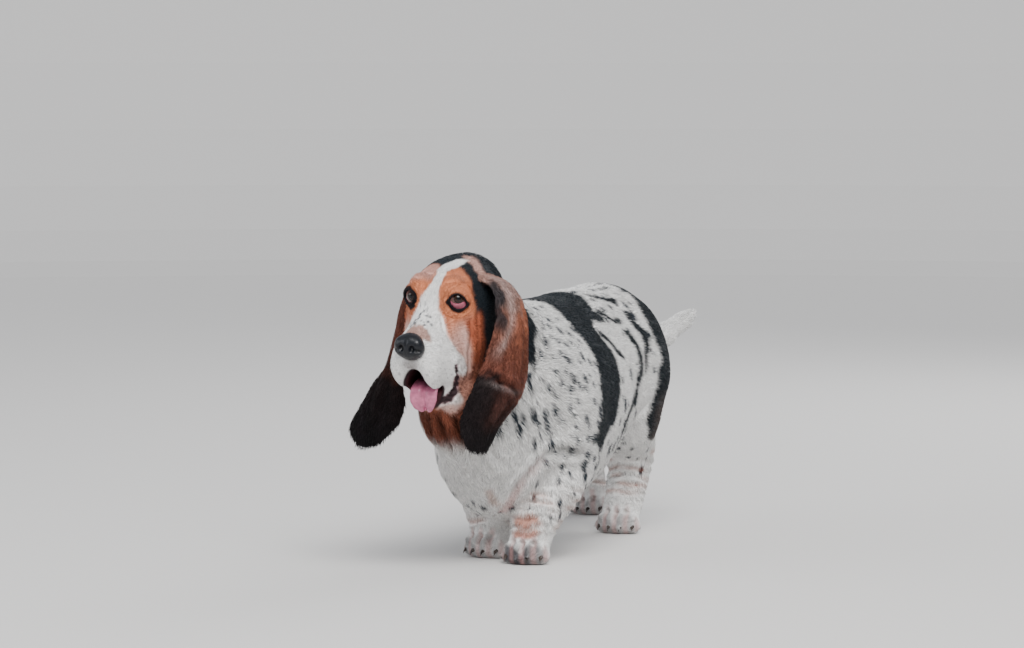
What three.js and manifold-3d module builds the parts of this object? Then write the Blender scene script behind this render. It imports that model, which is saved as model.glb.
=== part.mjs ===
// A life-size basset hound in mid walk, standing on its four paws.
// Millimetres, +Z up. The dog faces -Y and its left side is at +X. The floor is Z = 0.
import * as THREE from "three";
import { mergeVertices } from "three/addons/utils/BufferGeometryUtils.js";
import Module from "manifold-3d";

const wasm = await Module();
wasm.setup();

// Driving dimensions of the dog
const WITHERS = 372; // height of the back over the shoulders
const CHEST_HALF_WIDTH = 120;
const CHEST_LOW = 58; // the sternum's height over the floor
const TORSO_FRONT = -284; // the forechest's foremost point, along Y
const TORSO_REAR = 312; // the buttocks
const TAIL_LENGTH = 252;
const EAR_THICK = 6;
const EYE_RADIUS = 13.5;
const EYE_SPACING = 64; // between the centres of the eyeballs
const MUZZLE_LENGTH = 112; // from between the eyes to the nose
const PAW_WIDTH = 70;
const GAP = 0.3; // between neighbouring pieces
const TIDY = 0.05; // corners nearer than this are one corner

// Sizes of the facets
const TORSO_CELL = 29;
const NECK_CELL = 19;
const HEAD_CELL = 9;
const LEG_CELL = 19;
const PAW_CELL = 11.6;
const TAIL_CELL = 12;

// The head's place: the point between the eyes, and how the head is turned there
const HEAD_AT = [-20, -382, 390];
const HEAD_TURN = { yaw: -2.5, pitch: 20, roll: 4 }; // to its right, nose down, right side up

const rad = THREE.MathUtils.degToRad;
const lerp = THREE.MathUtils.lerp;
const clamp = THREE.MathUtils.clamp;

const headMatrix = new THREE.Matrix4()
  .makeRotationFromEuler(
    new THREE.Euler(rad(HEAD_TURN.pitch), rad(HEAD_TURN.roll), rad(HEAD_TURN.yaw), "ZXY"),
  )
  .setPosition(...HEAD_AT);

// Fields: each is a function of a place that gives about how far it is outside a form, negative inside.
function ball([cx, cy, cz], [rx, ry, rz], turn = null) {
  if (turn) {
    const back = new THREE.Matrix4()
      .makeRotationFromEuler(new THREE.Euler(...turn.map(rad)))
      .setPosition(cx, cy, cz)
      .invert();
    return moved(ball([0, 0, 0], [rx, ry, rz]), back);
  }
  const least = Math.min(rx, ry, rz);
  return (x, y, z) => {
    const a = (x - cx) / rx;
    const b = (y - cy) / ry;
    const c = (z - cz) / rz;
    const far = Math.hypot(a, b, c);
    if (far < 1e-6) return -least;
    const slope = Math.hypot(a / rx, b / ry, c / rz);
    return (far * (far - 1)) / slope;
  };
}

function rod([ax, ay, az, ra], [bx, by, bz, rb]) {
  const dx = bx - ax;
  const dy = by - ay;
  const dz = bz - az;
  const long = dx * dx + dy * dy + dz * dz;
  return (x, y, z) => {
    const t = clamp(((x - ax) * dx + (y - ay) * dy + (z - az) * dz) / long, 0, 1);
    return Math.hypot(x - ax - t * dx, y - ay - t * dy, z - az - t * dz) - lerp(ra, rb, t);
  };
}

// The field in a frame of its own, reached through the matrix that leads back to it.
function moved(field, back) {
  const e = back.elements;
  return (x, y, z) =>
    field(
      e[0] * x + e[4] * y + e[8] * z + e[12],
      e[1] * x + e[5] * y + e[9] * z + e[13],
      e[2] * x + e[6] * y + e[10] * z + e[14],
    );
}

function softMin(a, b, soft) {
  const h = Math.max(soft - Math.abs(a - b), 0) / soft;
  return Math.min(a, b) - (h * h * soft) / 4;
}

function blend(soft, ...fields) {
  return (x, y, z) => fields.reduce((least, field) => softMin(least, field(x, y, z), soft), 1e4);
}

function hollow(soft, field, ...cuts) {
  return (x, y, z) => cuts.reduce((most, cut) => -softMin(-most, cut(x, y, z), soft), field(x, y, z));
}

function limb(soft, ...stations) {
  return blend(soft, ...stations.slice(1).map((to, i) => rod(stations[i], to)));
}

const both = (make) => [make(1), make(-1)];

// The body's own forms
const chestHigh = WITHERS - CHEST_LOW;
const trunk = blend(
  34,
  ball([0, -62, CHEST_LOW + chestHigh * 0.5], [CHEST_HALF_WIDTH, 205, chestHigh * 0.47]),
  ball([-4, TORSO_FRONT + 88, 160], [86, 88, 98]),
  ball([0, 100, 250], [CHEST_HALF_WIDTH - 12, 190, 112]),
  ball([0, 205, 290], [92, 104, 84]),
  rod([0, -130, WITHERS - 62, 60], [0, 60, WITHERS - 62, 62]),
  rod([0, 60, WITHERS - 62, 62], [0, 190, WITHERS - 52, 62]),
);
const haunches = blend(
  26,
  ...both((side) => ball([side * 51, 206, 250], [44, 90, 98])),
  ball([0, TORSO_REAR - 60, 274], [68, 60, 66]),
);
const shoulders = blend(30, ...both((side) => ball([side * 78, -150, 222], [42, 74, 96], [16, 0, 0])));
const neckForms = blend(
  30,
  limb(30, [-20, -300, 366, 64], [-12, -250, 322, 78], [0, -170, 272, 98]),
  limb(24, [-22, -372, 262, 34], [-14, -325, 232, 52], [0, -262, 190, 70]),
);

// Legs: stations from the body to the paw, each a place and a radius. The leg begins at the second station,
// and the paw at the last.
const LEGS = {
  foreleg_left: {
    stations: [
      [74, -140, 215, 56],
      [76, -126, 150, 46],
      [67, -160, 108, 39],
      [55, -190, 72, 33],
      [48, -198, 44, 31],
    ],
    paw: { at: [45, -204], turn: 4 },
  },
  foreleg_right: {
    stations: [
      [-70, -130, 215, 54],
      [-72, -100, 150, 44],
      [-62, -122, 108, 38],
      [-44, -140, 72, 32],
      [-36, -146, 44, 30],
    ],
    paw: { at: [-36, -152], turn: -12 },
  },
  hindleg_left: {
    stations: [
      [50, 190, 250, 68],
      [50, 170, 185, 56],
      [38, 234, 138, 39],
      [34, 254, 108, 31],
      [35, 232, 72, 29],
      [36, 212, 44, 30],
    ],
    paw: { at: [36, 200], turn: 4 },
  },
  hindleg_right: {
    stations: [
      [-62, 205, 250, 68],
      [-84, 208, 186, 56],
      [-88, 290, 148, 40],
      [-92, 352, 122, 31],
      [-96, 392, 82, 28],
      [-98, 418, 46, 29],
    ],
    paw: { at: [-98, 424], turn: -2 },
  },
};
const upperLegs = Object.values(LEGS).map(({ stations }) => rod(stations[0], stations[1]));
const tailForm = limb(
  12,
  [0, TORSO_REAR - 40, 290, 34],
  [8, TORSO_REAR + 40, 276, 23],
  [18, TORSO_REAR + 125, 288, 18],
  [25, TORSO_REAR + TAIL_LENGTH - 50, 306, 14],
  [28, TORSO_REAR + TAIL_LENGTH - 11, 317, 10],
);

// Head forms, in the head's own frame: -y is towards the nose, the eyes' level is z = 0
const noseY = -MUZZLE_LENGTH;
const skull = blend(
  18,
  ball([0, 48, -14], [53, 82, 51]),
  ball([0, 104, -6], [24, 26, 24]),
  ball([0, 12, -4], [42, 38, 34]),
  ...both((side) => ball([side * 25, -2, 20], [16, 22, 13])),
  ...both((side) => ball([side * 38, 34, -52], [22, 54, 50])),
  ball([0, 44, -70], [46, 60, 46]),
);
const bridge = blend(
  12,
  rod([0, 0, -12, 21], [0, noseY + 22, -28, 17]),
  ...both((side) => rod([side * 10, 0, -32, 25], [side * 5, noseY + 24, -42, 19])),
);
const flews = blend(
  10,
  ...both((side) => ball([side * 20, -68, -66], [16, 40, 38], [0, side * 5, side * 9])),
  ...both((side) => ball([side * 28, -30, -76], [16, 38, 36], [12, 0, side * 5])),
  ...both((side) => ball([side * 38, 4, -84], [12, 30, 40])),
);
const jawRoot = ball([0, 22, -92], [34, 44, 34]);
const eyeAt = (side) => [side * (EYE_SPACING / 2), -6, 7];
const sockets = both((side) => ball([side * (EYE_SPACING / 2 + 6), -19, 6], [15, 9, 13]));
const headForms = hollow(5, blend(14, skull, bridge, flews, jawRoot), ...sockets);
const throat = blend(20, ball([0, 78, -80], [52, 60, 56]), ball([0, 62, -14], [56, 76, 52]));
const fromHead = headMatrix.clone().invert();
const neckAndThroat = blend(26, neckForms, moved(throat, fromHead));
const headField = blend(12, headForms, moved(neckAndThroat, headMatrix));
const torsoField = blend(22, trunk, haunches, shoulders, neckForms, ...upperLegs, tailForm);
const neckField = blend(16, trunk, shoulders, neckAndThroat, moved(skull, fromHead));
const jawField = blend(
  10,
  limb(10, [0, 20, -114, 24], [0, -30, -119, 20], [0, -74, -113, 14]),
  ball([0, -76, -109], [20, 12, 12]),
);
const noseForms = blend(
  6,
  ball([0, -103, -28], [20, 14, 18]),
  ...both((side) => ball([side * 11, -106, -26], [11, 11, 12])),
  ball([0, -100, -16], [15, 12, 8]),
);
const mouthField = blend(8, ball([2, -66, -100], [21, 64, 36]), ball([3, -30, -100], [24, 40, 28]));

// A closed skin round a field, made on a grid whose steps may change along each axis.
function ticks(from, to, cell) {
  const step = typeof cell === "number" ? () => cell : cell;
  const marks = [from];
  while (marks.at(-1) < to) marks.push(marks.at(-1) + step(marks.at(-1)));
  return marks;
}

function skinOf(field, [lowX, lowY, lowZ], [highX, highY, highZ], cell) {
  const steps = Array.isArray(cell) ? cell : [cell, cell, cell];
  const xs = ticks(lowX, highX, steps[0]);
  const ys = ticks(lowY, highY, steps[1]);
  const zs = ticks(lowZ, highZ, steps[2]);
  const [nx, ny, nz] = [xs.length, ys.length, zs.length];
  const at = (i, j, k) => (k * ny + j) * nx + i;
  const values = new Float64Array(nx * ny * nz);
  const inset = 0.5 * Math.min(xs[1] - xs[0], ys[1] - ys[0], zs[1] - zs[0]);
  const bounded = (x, y, z) =>
    Math.max(
      field(x, y, z),
      xs[0] + inset - x, x - xs[nx - 1] + inset,
      ys[0] + inset - y, y - ys[ny - 1] + inset,
      zs[0] + inset - z, z - zs[nz - 1] + inset,
    );
  for (let k = 0; k < nz; k++)
    for (let j = 0; j < ny; j++)
      for (let i = 0; i < nx; i++) values[at(i, j, k)] = bounded(xs[i], ys[j], zs[k]);

  // Where only two opposite corners of a grid square are inside, a third is taken in: the skin never pinches
  const strides = [at(1, 0, 0), at(0, 1, 0), at(0, 0, 1)];
  for (let changed = true; changed; ) {
    changed = false;
    for (let k = 0; k < nz - 1; k++)
      for (let j = 0; j < ny - 1; j++)
        for (let i = 0; i < nx - 1; i++)
          for (const [across, along] of [[0, 1], [1, 2], [0, 2]]) {
            const a = at(i, j, k);
            const square = [a, a + strides[across], a + strides[across] + strides[along], a + strides[along]];
            const inside = square.map((n) => values[n] < 0);
            if (inside[0] !== inside[2] || inside[1] !== inside[3] || inside[0] === inside[1]) continue;
            const outer = square.filter((n) => values[n] >= 0);
            values[values[outer[0]] < values[outer[1]] ? outer[0] : outer[1]] = -1e-3;
            changed = true;
          }
  }

  // One vertex in each cell that the surface crosses, at the mean of its crossings, drawn onto the surface
  const vertexOf = new Int32Array(nx * ny * nz).fill(-1);
  const places = [];
  const corner = [0, 1, 2, 3, 4, 5, 6, 7].map((n) => [n & 1, (n >> 1) & 1, n >> 2]);
  const edges = [];
  for (let a = 0; a < 8; a++)
    for (const bit of [1, 2, 4]) if (!(a & bit)) edges.push([a, a | bit]);
  const nudge = 0.5;
  for (let k = 0; k < nz - 1; k++)
    for (let j = 0; j < ny - 1; j++)
      for (let i = 0; i < nx - 1; i++) {
        const v = corner.map(([a, b, c]) => values[at(i + a, j + b, k + c)]);
        let [sx, sy, sz, count] = [0, 0, 0, 0];
        for (const [a, b] of edges) {
          if (v[a] < 0 === v[b] < 0) continue;
          const t = v[a] / (v[a] - v[b]);
          sx += lerp(xs[i + corner[a][0]], xs[i + corner[b][0]], t);
          sy += lerp(ys[j + corner[a][1]], ys[j + corner[b][1]], t);
          sz += lerp(zs[k + corner[a][2]], zs[k + corner[b][2]], t);
          count++;
        }
        if (!count) continue;
        const p = [sx / count, sy / count, sz / count];
        const least = [xs[i], ys[j], zs[k]];
        const most = [xs[i + 1], ys[j + 1], zs[k + 1]];
        for (let turn = 0; turn < 4; turn++) {
          const f = bounded(...p);
          const slope = [0, 1, 2].map((axis) => {
            const q = [...p];
            q[axis] += nudge;
            return (bounded(...q) - f) / nudge;
          });
          const steep = slope[0] ** 2 + slope[1] ** 2 + slope[2] ** 2;
          if (steep < 0.05) break;
          for (let axis = 0; axis < 3; axis++) {
            const room = 0.02 * (most[axis] - least[axis]);
            p[axis] = clamp(p[axis] - (f * slope[axis]) / steep, least[axis] + room, most[axis] - room);
          }
        }
        vertexOf[at(i, j, k)] = places.length / 3;
        places.push(...p);
      }

  // One quad round each grid edge that the surface crosses, split along its shorter diagonal
  const faces = [];
  const apart = (a, b) =>
    Math.hypot(
      places[3 * a] - places[3 * b],
      places[3 * a + 1] - places[3 * b + 1],
      places[3 * a + 2] - places[3 * b + 2],
    );
  const quad = (a, b, c, d, outward) => {
    const ring = outward ? [a, b, c, d] : [a, d, c, b];
    const [p, q, r, s] = ring;
    if (apart(p, r) < apart(q, s)) faces.push(p, q, r, p, r, s);
    else faces.push(p, q, s, q, r, s);
  };
  for (let k = 0; k < nz - 1; k++)
    for (let j = 0; j < ny - 1; j++)
      for (let i = 0; i < nx - 1; i++) {
        const inside = values[at(i, j, k)] < 0;
        const across = (di, dj, dk) => inside !== values[at(i + di, j + dj, k + dk)] < 0;
        const cell = (di, dj, dk) => vertexOf[at(i - di, j - dj, k - dk)];
        if (j && k && across(1, 0, 0))
          quad(cell(0, 1, 1), cell(0, 0, 1), cell(0, 0, 0), cell(0, 1, 0), inside);
        if (i && k && across(0, 1, 0))
          quad(cell(1, 0, 1), cell(1, 0, 0), cell(0, 0, 0), cell(0, 0, 1), inside);
        if (i && j && across(0, 0, 1))
          quad(cell(1, 1, 0), cell(0, 1, 0), cell(0, 0, 0), cell(1, 0, 0), inside);
      }
  const skin = new THREE.BufferGeometry();
  skin.setAttribute("position", new THREE.Float32BufferAttribute(places, 3));
  skin.setIndex(faces);
  return skin;
}

// Solids, joined and cut
function solidOf(geometry) {
  const bare = geometry.clone();
  bare.deleteAttribute("normal");
  bare.deleteAttribute("uv");
  const merged = mergeVertices(bare, 1e-3);
  return new wasm.Manifold(
    new wasm.Mesh({
      numProp: 3,
      vertProperties: new Float32Array(merged.attributes.position.array),
      triVerts: new Uint32Array(merged.index.array),
    }),
  );
}

function geometryOf(solid) {
  const mesh = solid.getMesh();
  const places = new Float32Array(mesh.numVert * 3);
  for (let i = 0; i < mesh.numVert; i++)
    places.set(mesh.vertProperties.subarray(i * mesh.numProp, i * mesh.numProp + 3), i * 3);
  const geometry = new THREE.BufferGeometry();
  geometry.setAttribute("position", new THREE.BufferAttribute(places, 3));
  geometry.setIndex(new THREE.BufferAttribute(mesh.triVerts, 1));
  const half = TIDY / 2;
  const once = mergeVertices(geometry, TIDY).translate(half, half, half);
  const tidy = mergeVertices(once, TIDY).translate(-half, -half, -half);
  // Facets that have closed up go, and so do two facets that lie back to back
  const facets = new Map();
  const corners = tidy.index.array;
  for (let i = 0; i < corners.length; i += 3) {
    const facet = [...corners.slice(i, i + 3)];
    if (new Set(facet).size < 3) continue;
    const name = [...facet].sort((a, b) => a - b).join();
    if (!facets.delete(name)) facets.set(name, facet);
  }
  const kept = [...facets.values()].flat();
  tidy.setIndex(kept);
  tidy.computeVertexNormals();
  return tidy;
}

function largest(solid) {
  return solid.decompose().reduce((best, piece) => (piece.volume() > best.volume() ? piece : best));
}

// A block that stands for one side of a cut: its face lies at the place, and it fills the side that it faces.
const FAR = 900;
function sideOf(at, facing, gap = 0, wide = FAR, deep = FAR) {
  const outward = new THREE.Vector3(...facing).normalize();
  const block = new THREE.BoxGeometry(wide, wide, deep).translate(0, 0, deep / 2 - gap);
  block.applyQuaternion(new THREE.Quaternion().setFromUnitVectors(new THREE.Vector3(0, 0, 1), outward));
  return solidOf(block.translate(...at));
}

function oval([cx, cy, cz], [rx, ry, rz], turn = [0, 0, 0], grow = 0, around = 20) {
  const egg = new THREE.SphereGeometry(1, around, Math.round(around * 0.6));
  egg.scale(rx + grow, ry + grow, rz + grow);
  egg.applyMatrix4(new THREE.Matrix4().makeRotationFromEuler(new THREE.Euler(...turn.map(rad))));
  return solidOf(egg.translate(cx, cy, cz));
}

const inBody = (solid) => solid.transform(headMatrix.elements.slice());

// A roll of skin along a curve: an oval drawn along it
function roll(points, wide, thick, along = 11, around = 3) {
  const oval = new THREE.Shape();
  oval.absellipse(0, 0, wide, thick, 0, Math.PI * 2);
  const path = new THREE.CatmullRomCurve3(points.map((p) => new THREE.Vector3(...p)));
  return solidOf(
    new THREE.ExtrudeGeometry(oval, {
      steps: along,
      extrudePath: path,
      curveSegments: around,
      bevelEnabled: false,
    }),
  );
}

// A thick curved sheet between two edges. Each row has a front edge, a rear edge and a bow between them.
function sheet(rows, thick, along, across, grow = 0) {
  const curve = (pick) => new THREE.CatmullRomCurve3(rows.map((row) => new THREE.Vector3(...pick(row))));
  const front = curve((row) => row.front);
  const rear = curve((row) => row.rear);
  const bow = curve((row) => row.bow);
  const middle = (u, v) => {
    const a = front.getPoint(v);
    const b = rear.getPoint(v);
    const side = b.clone().sub(a).normalize();
    const reach = lerp(0, 1, u);
    return a
      .lerp(b, reach)
      .addScaledVector(side, grow * (2 * u - 1))
      .addScaledVector(bow.getPoint(v), Math.sin(Math.PI * u));
  };
  const places = [];
  const e = 0.01;
  for (const face of [1, -1])
    for (let j = 0; j <= along; j++)
      for (let i = 0; i <= across; i++) {
        const [u, v] = [i / across, j / along];
        const p = middle(u, v);
        const du = middle(Math.min(u + e, 1), v).sub(middle(Math.max(u - e, 0), v));
        const dv = middle(u, Math.min(v + e, 1)).sub(middle(u, Math.max(v - e, 0)));
        const normal = du.cross(dv).normalize();
        const edge = Math.min(u, 1 - u, (1 - v) * 2);
        const half = (thick / 2) * lerp(0.45, 1, clamp(edge * 5, 0, 1)) + grow;
        const end = dv.normalize().multiplyScalar(j === along ? grow : j === 0 ? -grow : 0);
        places.push(...p.addScaledVector(normal, face * half).add(end).toArray());
      }
  const wide = across + 1;
  const layer = wide * (along + 1);
  const faces = [];
  const quad = (a, b, c, d) => faces.push(a, b, c, a, c, d);
  for (let j = 0; j < along; j++)
    for (let i = 0; i < across; i++) {
      const a = j * wide + i;
      quad(a, a + 1, a + wide + 1, a + wide);
      faces.push(layer + a, layer + a + wide + 1, layer + a + 1);
      faces.push(layer + a, layer + a + wide, layer + a + wide + 1);
    }
  const rim = [];
  for (let i = 0; i < across; i++) rim.push(i);
  for (let j = 0; j < along; j++) rim.push(j * wide + across);
  for (let i = across; i > 0; i--) rim.push(along * wide + i);
  for (let j = along; j > 0; j--) rim.push(j * wide);
  rim.forEach((a, n) => {
    const b = rim[(n + 1) % rim.length];
    quad(b, a, layer + a, layer + b);
  });
  const geometry = new THREE.BufferGeometry();
  geometry.setAttribute("position", new THREE.Float32BufferAttribute(places, 3));
  geometry.setIndex(faces);
  return solidOf(geometry);
}

// Where the body is parted
const NECK_CUT = { at: [0, -250, 252], facing: [0, -0.85, 0.53] };
const HEAD_CUT = { at: [0, 84, -20], facing: [0, -1, 0.1] }; // in the head's frame
const THROAT_CUT = { at: [0, 0, -142], facing: [0, 0.1, 1] };
const TAIL_CUT = { at: [2, TORSO_REAR + 8, 280], facing: [0.06, 1, -0.05] };
const headRegion = (gap) =>
  sideOf(HEAD_CUT.at, HEAD_CUT.facing, gap).intersect(sideOf(THROAT_CUT.at, THROAT_CUT.facing, gap));
const floorSide = sideOf([0, 0, 0], [0, 0, 1]);

const root = new THREE.Group();

const finishes = {
  white_coat: { color: 0xece8e4, roughness: 0.85 },
  tan_coat: { color: 0x9a5638, roughness: 0.8 },
  ear_coat: { color: 0x5a2c1e, roughness: 0.8 },
  wet_black: { color: 0x1c1f22, roughness: 0.35 },
  eye: { color: 0x2a1510, roughness: 0.1 },
  tongue: { color: 0xc86a86, roughness: 0.45 },
};
function piece(name, solid, finish, parent = root) {
  const geometry = geometryOf(largest(solid));
  const material = new THREE.MeshStandardMaterial({ metalness: 0, ...finishes[finish] });
  const mesh = new THREE.Mesh(geometry, material);
  mesh.name = name;
  parent.add(mesh);
  return mesh;
}

// Legs and paws
const legSeats = [];
const random = (() => {
  let state = 33;
  return () => {
    state = (state * 16807) % 2147483647;
    return state / 2147483647;
  };
})();

function pawField(stations, { at: [px, py], turn }) {
  const scale = PAW_WIDTH / 70;
  const turned = new THREE.Matrix4().makeRotationZ(rad(turn)).setPosition(px, py, 0);
  const place = (x, y, z) => new THREE.Vector3(x * scale, y * scale, z).applyMatrix4(turned).toArray();
  const toes = [-1.5, -0.5, 0.5, 1.5].map((n) => {
    const forward = -24 + Math.abs(n) * 8;
    return limb(6, [...place(n * 11, 0, 22), 13], [...place(n * 16.5, forward, 12), 13.5]);
  });
  const heel = rod([...stations.at(-1).slice(0, 3), 30], [...place(0, 4, 20), 22]);
  return blend(7, limb(10, stations.at(-2), stations.at(-1)), heel, ...toes);
}

function claws({ at: [px, py], turn }) {
  const scale = PAW_WIDTH / 70;
  return [-1.5, -0.5, 0.5, 1.5].map((n) => {
    const long = 20 + random() * 3;
    const claw = new THREE.ConeGeometry(4.4, long, 7);
    claw.rotateX(rad(-152 + random() * 6)).rotateZ(rad(n * 6));
    claw.translate(n * 17.5 * scale, (-36 + Math.abs(n) * 8) * scale, 12);
    return solidOf(claw.rotateZ(rad(turn)).translate(px, py, 0));
  });
}

for (const [name, { stations, paw }] of Object.entries(LEGS)) {
  const field = limb(14, ...stations);
  const [from, to] = [stations[1], stations[2]].map((s) => new THREE.Vector3(...s));
  const down = to.clone().sub(from).normalize();
  const wrist = stations.at(-1).slice(0, 3);
  const low = stations.reduce((m, s) => m.map((c, i) => Math.min(c, s[i] - s[3] - 20)), [1e3, 1e3, 1e3]);
  const high = stations.reduce((m, s) => m.map((c, i) => Math.max(c, s[i] + s[3] + 20)), [-1e3, -1e3, -1e3]);
  const legSkin = solidOf(skinOf(field, low, high, LEG_CELL));
  const leg = legSkin
    .intersect(sideOf(from.toArray(), down.toArray()))
    .intersect(sideOf(wrist, [0, 0, 1]));
  const seat = solidOf(skinOf((x, y, z) => field(x, y, z) - GAP, low, high, LEG_CELL)).add(legSkin);
  legSeats.push(seat.intersect(sideOf(from.toArray(), down.toArray(), GAP)));
  piece(name, leg, "white_coat");

  const [px, py] = paw.at;
  const pawLow = [px - 70, py - 75, -12];
  const pawHigh = [px + 70, py + 80, wrist[2] + 30];
  const pawSkin = solidOf(skinOf(pawField(stations, paw), pawLow, pawHigh, PAW_CELL));
  const pawSolid = claws(paw)
    .reduce((sum, claw) => sum.add(claw), pawSkin)
    .intersect(sideOf([wrist[0], wrist[1], wrist[2] - GAP], [0, 0, -1]))
    .intersect(floorSide);
  piece(name.replace("leg", "paw"), pawSolid, "white_coat");
}

// Torso, neck and tail
let torso = solidOf(skinOf(torsoField, [-170, -330, 20], [170, 400, 430], TORSO_CELL));
for (const seat of legSeats) torso = torso.subtract(seat);
torso = torso
  .subtract(sideOf(NECK_CUT.at, NECK_CUT.facing, GAP, 500, 300))
  .subtract(sideOf(TAIL_CUT.at, TAIL_CUT.facing, GAP, 300, 300));
piece("torso", torso, "white_coat");

const tailLow = [-40, TORSO_REAR - 30, 240];
const tailHigh = [70, TORSO_REAR + TAIL_LENGTH + 30, 350];
const tailCells = [TAIL_CELL, TAIL_CELL * 1.6, TAIL_CELL];
const tailSkin = solidOf(skinOf(tailForm, tailLow, tailHigh, tailCells));
const tail = tailSkin.intersect(sideOf(TAIL_CUT.at, TAIL_CUT.facing));
piece("tail", tail, "white_coat");

// Ears, in the dog's own frame
const EARS = {
  ear_left: [
    { front: [22, -356, 428], rear: [34, -296, 414], bow: [8, -4, 8] },
    { front: [54, -364, 408], rear: [60, -292, 398], bow: [10, -6, 6] },
    { front: [62, -368, 362], rear: [76, -290, 350], bow: [14, -4, 0] },
    { front: [52, -378, 318], rear: [81, -292, 314], bow: [15, -4, 0] },
    { front: [41, -392, 281], rear: [84, -300, 280], bow: [14, -6, 0] },
    { front: [30, -398, 252], rear: [79, -314, 250], bow: [10, -12, 0] },
    { front: [20, -398, 222], rear: [62, -334, 222], bow: [10, -10, 0] },
    { front: [24, -394, 194], rear: [48, -342, 194], bow: [6, -6, 0] },
    { front: [31, -388, 178], rear: [42, -352, 174], bow: [3, -3, -2] },
  ],
  ear_right: [
    { front: [-46, -352, 426], rear: [-58, -296, 414], bow: [-6, -4, 6] },
    { front: [-70, -358, 404], rear: [-80, -298, 394], bow: [-8, -6, 4] },
    { front: [-76, -380, 352], rear: [-92, -330, 342], bow: [-6, -4, 0] },
    { front: [-76, -392, 308], rear: [-104, -345, 300], bow: [-6, -8, 0] },
    { front: [-69, -395, 270], rear: [-134, -356, 261], bow: [-6, -12, 0] },
    { front: [-66, -394, 240], rear: [-157, -362, 223], bow: [-6, -12, 0] },
    { front: [-77, -393, 212], rear: [-167, -366, 198], bow: [-4, -10, -2] },
    { front: [-104, -390, 184], rear: [-151, -372, 178], bow: [-2, -4, -4] },
  ],
};
const seatOf = (make) => make(GAP).add(make(0));
const earSheet = (name, grow = 0) => sheet(EARS[name], EAR_THICK, 18, 8, grow);

// Head: the eyes, nose, lower jaw and tongue sit in seats of their own
const grown = (field) => (x, y, z) => field(x, y, z) - GAP;
const headSteps = [
  HEAD_CELL,
  (y) => (y < 6 ? HEAD_CELL : HEAD_CELL * 1.8),
  (z) => (z < -112 || z > 34 ? HEAD_CELL * 1.4 : HEAD_CELL),
];
const inHead = (field, low, high, cell) => solidOf(skinOf(field, low, high, cell));
const mouthEnd = -8;
const mouthRear = sideOf([0, mouthEnd, -90], [0, 1, 0]);
const mouth = inHead(mouthField, [-34, -140, -142], [34, 20, -50], 8).subtract(mouthRear);
const jawBox = [[-44, -112, -152], [44, 52, -78], 9.5];
const jawWhole = inHead(jawField, ...jawBox);
const jawSeat = inHead(grown(jawField), ...jawBox).add(jawWhole).subtract(mouthRear);
const noseBox = [[-32, -128, -56], [32, -80, 2], 6.4];
const noseWhole = inHead(noseForms, ...noseBox);
let nose = noseWhole;
for (const side of [1, -1]) {
  nose = nose.subtract(oval([side * 9, -119, -24], [5.2, 10, 6.2], [0, 0, side * 14], 0, 12));
  nose = nose.subtract(oval([side * 18, -117, -27], [9, 8, 2.4], [0, side * 12, side * 30], 0, 10));
}

const TONGUE = [
  { front: [17, -14, -100], rear: [-13, -14, -100], bow: [0, 0, -2] },
  { front: [22, -44, -97], rear: [-14, -48, -97], bow: [0, 0, -3] },
  { front: [26, -74, -94], rear: [-12, -80, -94], bow: [0, 0, -3] },
  { front: [28, -88, -99], rear: [-11, -95, -99], bow: [0, 3, -2] },
  { front: [28, -93, -112], rear: [-11, -99, -112], bow: [0, 4, 0] },
  { front: [21, -92, -126], rear: [-5, -97, -126], bow: [0, 3, -6] },
];
const tongueSheet = (grow) => sheet(TONGUE, 7, 11, 5, grow);

// Each eye looks forward and outward; its lids are two rolls over the ball, the lower one sagging.
const lidRolls = [];
for (const side of [1, -1]) {
  const look = new THREE.Vector3(side * 0.42, -0.9, 0.06).normalize();
  const along = new THREE.Vector3(0, 0, 1).cross(look).normalize();
  const up = look.clone().cross(along);
  const lid = (a, b) => {
    const out = EYE_RADIUS + 0.6 - 0.028 * (a * a + b * b);
    return new THREE.Vector3(...eyeAt(side))
      .addScaledVector(along, a)
      .addScaledVector(up, b)
      .addScaledVector(look, out)
      .toArray();
  };
  const sixths = [0, 1, 2, 3, 4, 5, 6].map((n) => (n * Math.PI) / 6);
  const arc = (height) => sixths.map((turn) => lid(-16 * Math.cos(turn), height * Math.sin(turn) - 1));
  lidRolls.push(roll(arc(9.5), 3.6, 3.6), roll(arc(-13), 3.4, 3.4));
}

let head = inHead(headField, [-80, -128, -160], [80, 112, 52], headSteps);
for (const lid of lidRolls) head = head.add(lid);
head = head
  .intersect(headRegion(0))
  .subtract(mouth)
  .subtract(jawSeat)
  .subtract(seatOf(tongueSheet).subtract(sideOf([0, mouthEnd, -90], [0, 1, 0])))
  .subtract(inHead(grown(noseForms), ...noseBox))
  .subtract(noseWhole);
for (const side of [1, -1]) {
  const socket = oval(eyeAt(side), [EYE_RADIUS, EYE_RADIUS, EYE_RADIUS], [0, 0, 0], GAP + 0.1, 14);
  head = head.subtract(socket);
}
head = inBody(head);
for (const name of Object.keys(EARS)) head = head.subtract(seatOf((grow) => earSheet(name, grow)));
piece("head", head, "tan_coat");
piece("nose", inBody(nose), "wet_black");
const jaw = jawWhole
  .intersect(headRegion(0))
  .subtract(sideOf([0, mouthEnd, -90], [0, 1, 0], GAP))
  .subtract(seatOf(tongueSheet));
piece("lower_jaw", inBody(jaw), "white_coat");
piece("tongue", inBody(tongueSheet(0).subtract(sideOf([0, mouthEnd, -90], [0, 1, 0], GAP))), "tongue");
for (const side of [1, -1]) {
  const eye = oval(eyeAt(side), [EYE_RADIUS, EYE_RADIUS, EYE_RADIUS], [0, 0, 0], 0, 14);
  piece(side > 0 ? "eye_left" : "eye_right", inBody(eye), "eye");
}

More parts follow.
